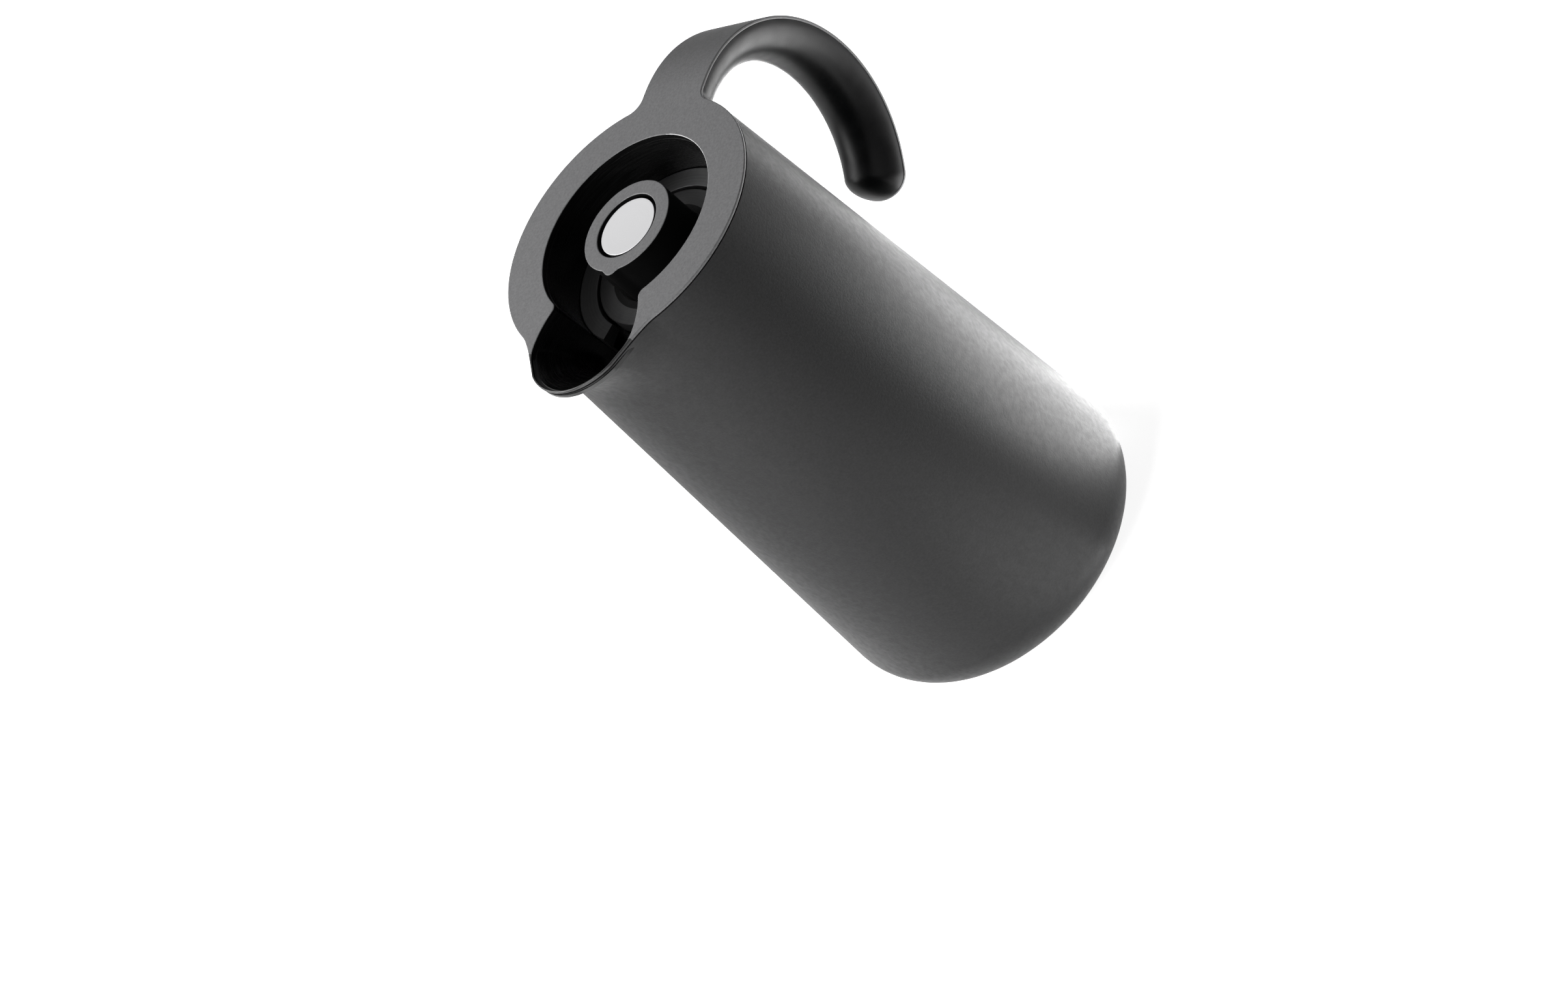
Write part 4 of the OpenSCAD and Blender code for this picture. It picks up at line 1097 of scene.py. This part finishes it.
def coil_tree():
    """Compression spring: round wire wound evenly, its end coils drawn close together."""
    tree, given = mesh_tree("coil spring", ["Coil radius", "Wire radius", "Height", "Turns", "Closing"])
    coil = add(tree, "GeometryNodeCurveSpiral", {
        "Resolution": 40, "Rotations": given["Turns"], "Height": given["Height"],
        "Start Radius": given["Coil radius"], "End Radius": given["Coil radius"]})
    share = add(tree, "GeometryNodeSplineParameter", out="Factor")
    round_share = add(tree, "ShaderNodeMath", {0: share, 1: -2 * math.pi}, operation="MULTIPLY")
    wave = add(tree, "ShaderNodeMath", {0: round_share}, operation="SINE")
    most = add(tree, "ShaderNodeMath", {0: given["Height"], 1: given["Closing"]}, operation="MULTIPLY")
    drawn = add(tree, "ShaderNodeMath", {0: wave, 1: most}, operation="MULTIPLY")
    offset = add(tree, "ShaderNodeCombineXYZ", {"Z": drawn})
    closed = add(tree, "GeometryNodeSetPosition", {"Geometry": coil, "Offset": offset})
    wire = add(tree, "GeometryNodeCurvePrimitiveCircle", {"Resolution": 10, "Radius": given["Wire radius"]})
    spring = add(tree, "GeometryNodeCurveToMesh", {"Curve": closed, "Profile Curve": wire, "Fill Caps": True})
    return finish_tree(tree, given, spring)


def screw_tree():
    """Screws with their heads' seats on the points: head with a cross recess, threaded shaft upwards."""
    tree, given = mesh_tree("screws", ["Head radius", "Head height", "Shaft radius", "Length", "Pitch"])
    part = {}
    for name, size, factor in (
            ("head middle", "Head height", -0.5), ("head end", "Head height", -1.0),
            ("slot length", "Head radius", 1.2), ("slot width", "Head radius", 0.25),
            ("core", "Shaft radius", 0.82), ("crest", "Shaft radius", 0.85), ("ridge", "Shaft radius", 0.14),
            ("shaft middle", "Length", 0.5)):
        part[name] = add(tree, "ShaderNodeMath", {0: given[size], 1: factor}, operation="MULTIPLY")
    lift, drop, rise = [add(tree, "ShaderNodeCombineXYZ", {"Z": part[name]})
                        for name in ("head middle", "head end", "shaft middle")]
    drum = add(tree, "GeometryNodeMeshCylinder", {
        "Vertices": 40, "Radius": given["Head radius"], "Depth": given["Head height"]})
    head = add(tree, "GeometryNodeTransform", {"Geometry": drum, "Translation": lift})
    size = add(tree, "ShaderNodeCombineXYZ", {
        "X": part["slot length"], "Y": part["slot width"], "Z": given["Head height"]})
    bar = add(tree, "GeometryNodeMeshCube", {"Size": size})
    slots = [add(tree, "GeometryNodeTransform", {
        "Geometry": bar, "Translation": drop, "Rotation": (0.0, 0.0, turn)}) for turn in (0.0, math.pi / 2)]
    recessed = add(tree, "GeometryNodeMeshBoolean", {"Mesh 1": head, "Mesh 2": slots}, operation="DIFFERENCE")
    shaft = add(tree, "GeometryNodeMeshCylinder", {
        "Vertices": 24, "Radius": part["core"], "Depth": given["Length"]})
    stem = add(tree, "GeometryNodeTransform", {"Geometry": shaft, "Translation": rise})
    turns = add(tree, "ShaderNodeMath", {0: given["Length"], 1: given["Pitch"]}, operation="DIVIDE")
    helix = add(tree, "GeometryNodeCurveSpiral", {
        "Resolution": 20, "Rotations": turns, "Height": given["Length"],
        "Start Radius": part["crest"], "End Radius": part["crest"]})
    ridge = add(tree, "GeometryNodeCurvePrimitiveCircle", {"Resolution": 4, "Radius": part["ridge"]})
    thread = add(tree, "GeometryNodeCurveToMesh", {"Curve": helix, "Profile Curve": ridge, "Fill Caps": True})
    whole = add(tree, "GeometryNodeJoinGeometry", {0: [recessed, stem, thread]})
    screws = add(tree, "GeometryNodeInstanceOnPoints", {"Points": given["Geometry"], "Instance": whole})
    return finish_tree(tree, given, screws)


SCREWS = screw_tree()


def screws(name, node, points):
    """The node's screws: seats at points in millimetres, length from the node's box."""
    seat_z = lowest(node)[2] + screw_head_h
    mesh = bpy.data.meshes.new(name)
    mesh.from_pydata([(x * MM, y * MM, seat_z * MM) for x, y in points], [], [])
    made = made_by_tree(name, SCREWS, WIRE, {
        "Head radius": screw_head_r * MM, "Head height": screw_head_h * MM, "Shaft radius": screw_r * MM,
        "Length": (highest(node)[2] - seat_z) * MM, "Pitch": screw_pitch * MM}, mesh)
    return soften(made, 30.0)


def spring():
    r, z0, z1 = span("return_spring")
    made = made_by_tree("coil_spring", coil_tree(), WIRE, {
        "Coil radius": (r - spring_wire_r) * MM, "Wire radius": spring_wire_r * MM,
        "Height": (z1 - z0 - 2 * spring_wire_r) * MM, "Turns": 7.0, "Closing": 0.095})
    made.data.transform(Matrix.Translation(Vector((0, 0, z0 + spring_wire_r)) * MM))
    return soften(made, 60.0)


screw_ring_r = highest("handle_screws")[0] - screw_head_r
handle_points = [(screw_ring_r, side * handle_screw_y) for side in (-1, 1)]
plate_points = [(screw_ring_r * math.cos(a), screw_ring_r * math.sin(a)) for a in plate_screw_angles]
place_piece(latch_rotor(), ACETAL, "rotor", "latch_rotor")
place_piece(screws("grip_screws", "handle_screws", handle_points),
            WIRE, "jug", "handle_screws")
place_piece(screws("flange_screws", "plate_screws", plate_points),
            WIRE, "jug", "plate_screws")
return_spring = place_piece(spring(), WIRE, "button", "return_spring")
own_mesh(return_spring)

# Pieces whose CAD solid stays
KEPT = {"rim_ring": INNER, "liner_spacers": FIBRE, "tip_guard": SOFT, "base_ring": INNER}
for node_name, finish in KEPT.items():
    paint(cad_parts[node_name].data, finish)


# Floor, light and camera
def sight(tree):
    """Outputs of the light path, and one that is 1 for rays in gloss or through glass."""
    path = add(tree, "ShaderNodeLightPath").node.outputs
    return path, add(tree, "ShaderNodeMath", {0: path["Is Glossy Ray"], 1: path["Is Transmission Ray"]},
                     operation="MAXIMUM")


def pale_floor():
    """Pale matt floor that shows white and keeps the jug's shadow; gloss sees it fade with distance."""
    size = 6.0
    near, far, far_light, seen_glow = 0.09, 0.24, 0.1, 0.9
    mesh = bpy.data.meshes.new("floor")
    mesh.from_pydata([(-size, -size, 0), (size, -size, 0), (size, size, 0), (-size, size, 0)], [],
                     [(0, 1, 2, 3)])
    material, tree, shader = new_material(
        "pale floor", Base_Color=linear("#e8e8e8"), Roughness=0.9, Specular_IOR_Level=0.1,
        Emission_Color=linear("#ffffff"))
    place = add(tree, "ShaderNodeTexCoord", out="Object")
    reach = add(tree, "ShaderNodeVectorMath", {0: place}, out="Value", operation="LENGTH")
    fade = add(tree, "ShaderNodeMapRange", {
        "Value": reach, "From Min": near, "From Max": far, "To Min": 1.0, "To Max": far_light})
    path, behind = sight(tree)
    in_gloss = add(tree, "ShaderNodeMath", {0: behind, 1: fade}, operation="MULTIPLY")
    glow = add(tree, "ShaderNodeMath", {0: path["Is Camera Ray"], 1: seen_glow, 2: in_gloss},
               operation="MULTIPLY_ADD")
    tree.links.new(glow, shader.inputs["Emission Strength"])
    mesh.materials.append(material)
    floor = put("floor", mesh)


def white_room():
    """World that is white to the camera, fades towards the horizon in gloss, and gives little light."""
    low_rise, high_rise, low_light, room_light = 0.1, 0.65, 0.3, 0.04
    world = bpy.data.worlds.new("white room")
    bpy.context.scene.world = world
    world.use_nodes = True
    tree = world.node_tree
    tree.nodes.clear()
    path, behind = sight(tree)
    rise = add(tree, "ShaderNodeSeparateXYZ", {0: add(tree, "ShaderNodeTexCoord", out="Generated")}, out="Z")
    fade = add(tree, "ShaderNodeMapRange", {
        "Value": rise, "From Min": low_rise, "From Max": high_rise, "To Min": low_light, "To Max": 1.0})
    in_gloss = add(tree, "ShaderNodeMath", {0: behind, 1: fade}, operation="MULTIPLY")
    strength, seen = [add(tree, "ShaderNodeMath", {0: path["Is Camera Ray"], 1: other}, operation="MAXIMUM")
                      for other in (in_gloss, behind)]
    faint, bright = [add(tree, "ShaderNodeBackground", {"Color": linear("#ffffff"), "Strength": value})
                     for value in (room_light, strength)]
    mix = add(tree, "ShaderNodeMixShader", {0: seen, 1: faint, 2: bright})
    add(tree, "ShaderNodeOutputWorld", {"Surface": mix})


def softbox(name, place, aim, width, height, watts):
    """Area light at a place, turned to a point it aims at; the camera doesn't see it."""
    light = bpy.data.lights.new(name, "AREA")
    light.shape, light.size, light.size_y, light.energy = "RECTANGLE", width, height, watts
    obj = put(name, light)
    obj.location = place
    obj.rotation_euler = (Vector(aim) - Vector(place)).to_track_quat("-Z", "Y").to_euler()
    obj.visible_camera = False


def photo_camera():
    """Camera solved from the photograph: right, down and forward are its axes in the jug's frame."""
    right = Vector((0.28613, -0.73848, -0.61055))
    down = Vector((-0.85863, 0.08521, -0.50546))
    forward = Vector((0.42530, 0.66887, -0.60970))
    data = bpy.data.cameras.new("photo camera")
    camera = put("photo camera", data)
    place = Vector((-671.53, -984.35, 1020.61)) * MM
    turn = Matrix((right, -down, -forward)).transposed().to_4x4()
    camera.matrix_world = Matrix.Translation(place) @ turn
    image_w, focal_px = 2408, 6000.0
    data.sensor_width = 36.0
    data.sensor_fit = "HORIZONTAL"
    data.lens = focal_px * data.sensor_width / image_w
    data.clip_start, data.clip_end = 0.05, 20.0
    bpy.context.scene.camera = camera


pale_floor()
white_room()
# Name, place, what it aims at, width, height, watts; the panels lie on the floor and shine upwards
for lamp in (
        ("low panel", (0.135, -0.115, 0.004), (0.135, -0.115, 0.5), 0.18, 0.2, 0.82),
        ("right panel", (0.32, 0.07, 0.004), (0.32, 0.07, 0.5), 0.25, 0.35, 1.2),
        ("foot panel", (0.08, -0.065, 0.004), (0.08, -0.065, 0.5), 0.06, 0.06, 0.06),
        ("front panel", (-0.07, -0.12, 0.004), (-0.07, -0.12, 0.5), 0.12, 0.1, 0.08),
        ("left panel", (-0.4, -0.15, 0.004), (-0.4, -0.15, 0.5), 0.3, 0.6, 1.0),
        ("back light", (-0.15, 1.05, 1.1), (0.0, 0.0, 0.2), 0.8, 0.8, 13.0),
        ("spout light", (-1.2, 0.0, 0.8), (0.0, 0.0, 0.12), 0.6, 0.6, 13.5),
        ("left light", (-0.7, 0.7, 0.6), (0.0, 0.0, 0.12), 0.5, 0.5, 6.0)):
    softbox(*lamp)
photo_camera()
bpy.context.scene.view_settings.view_transform = "Standard"
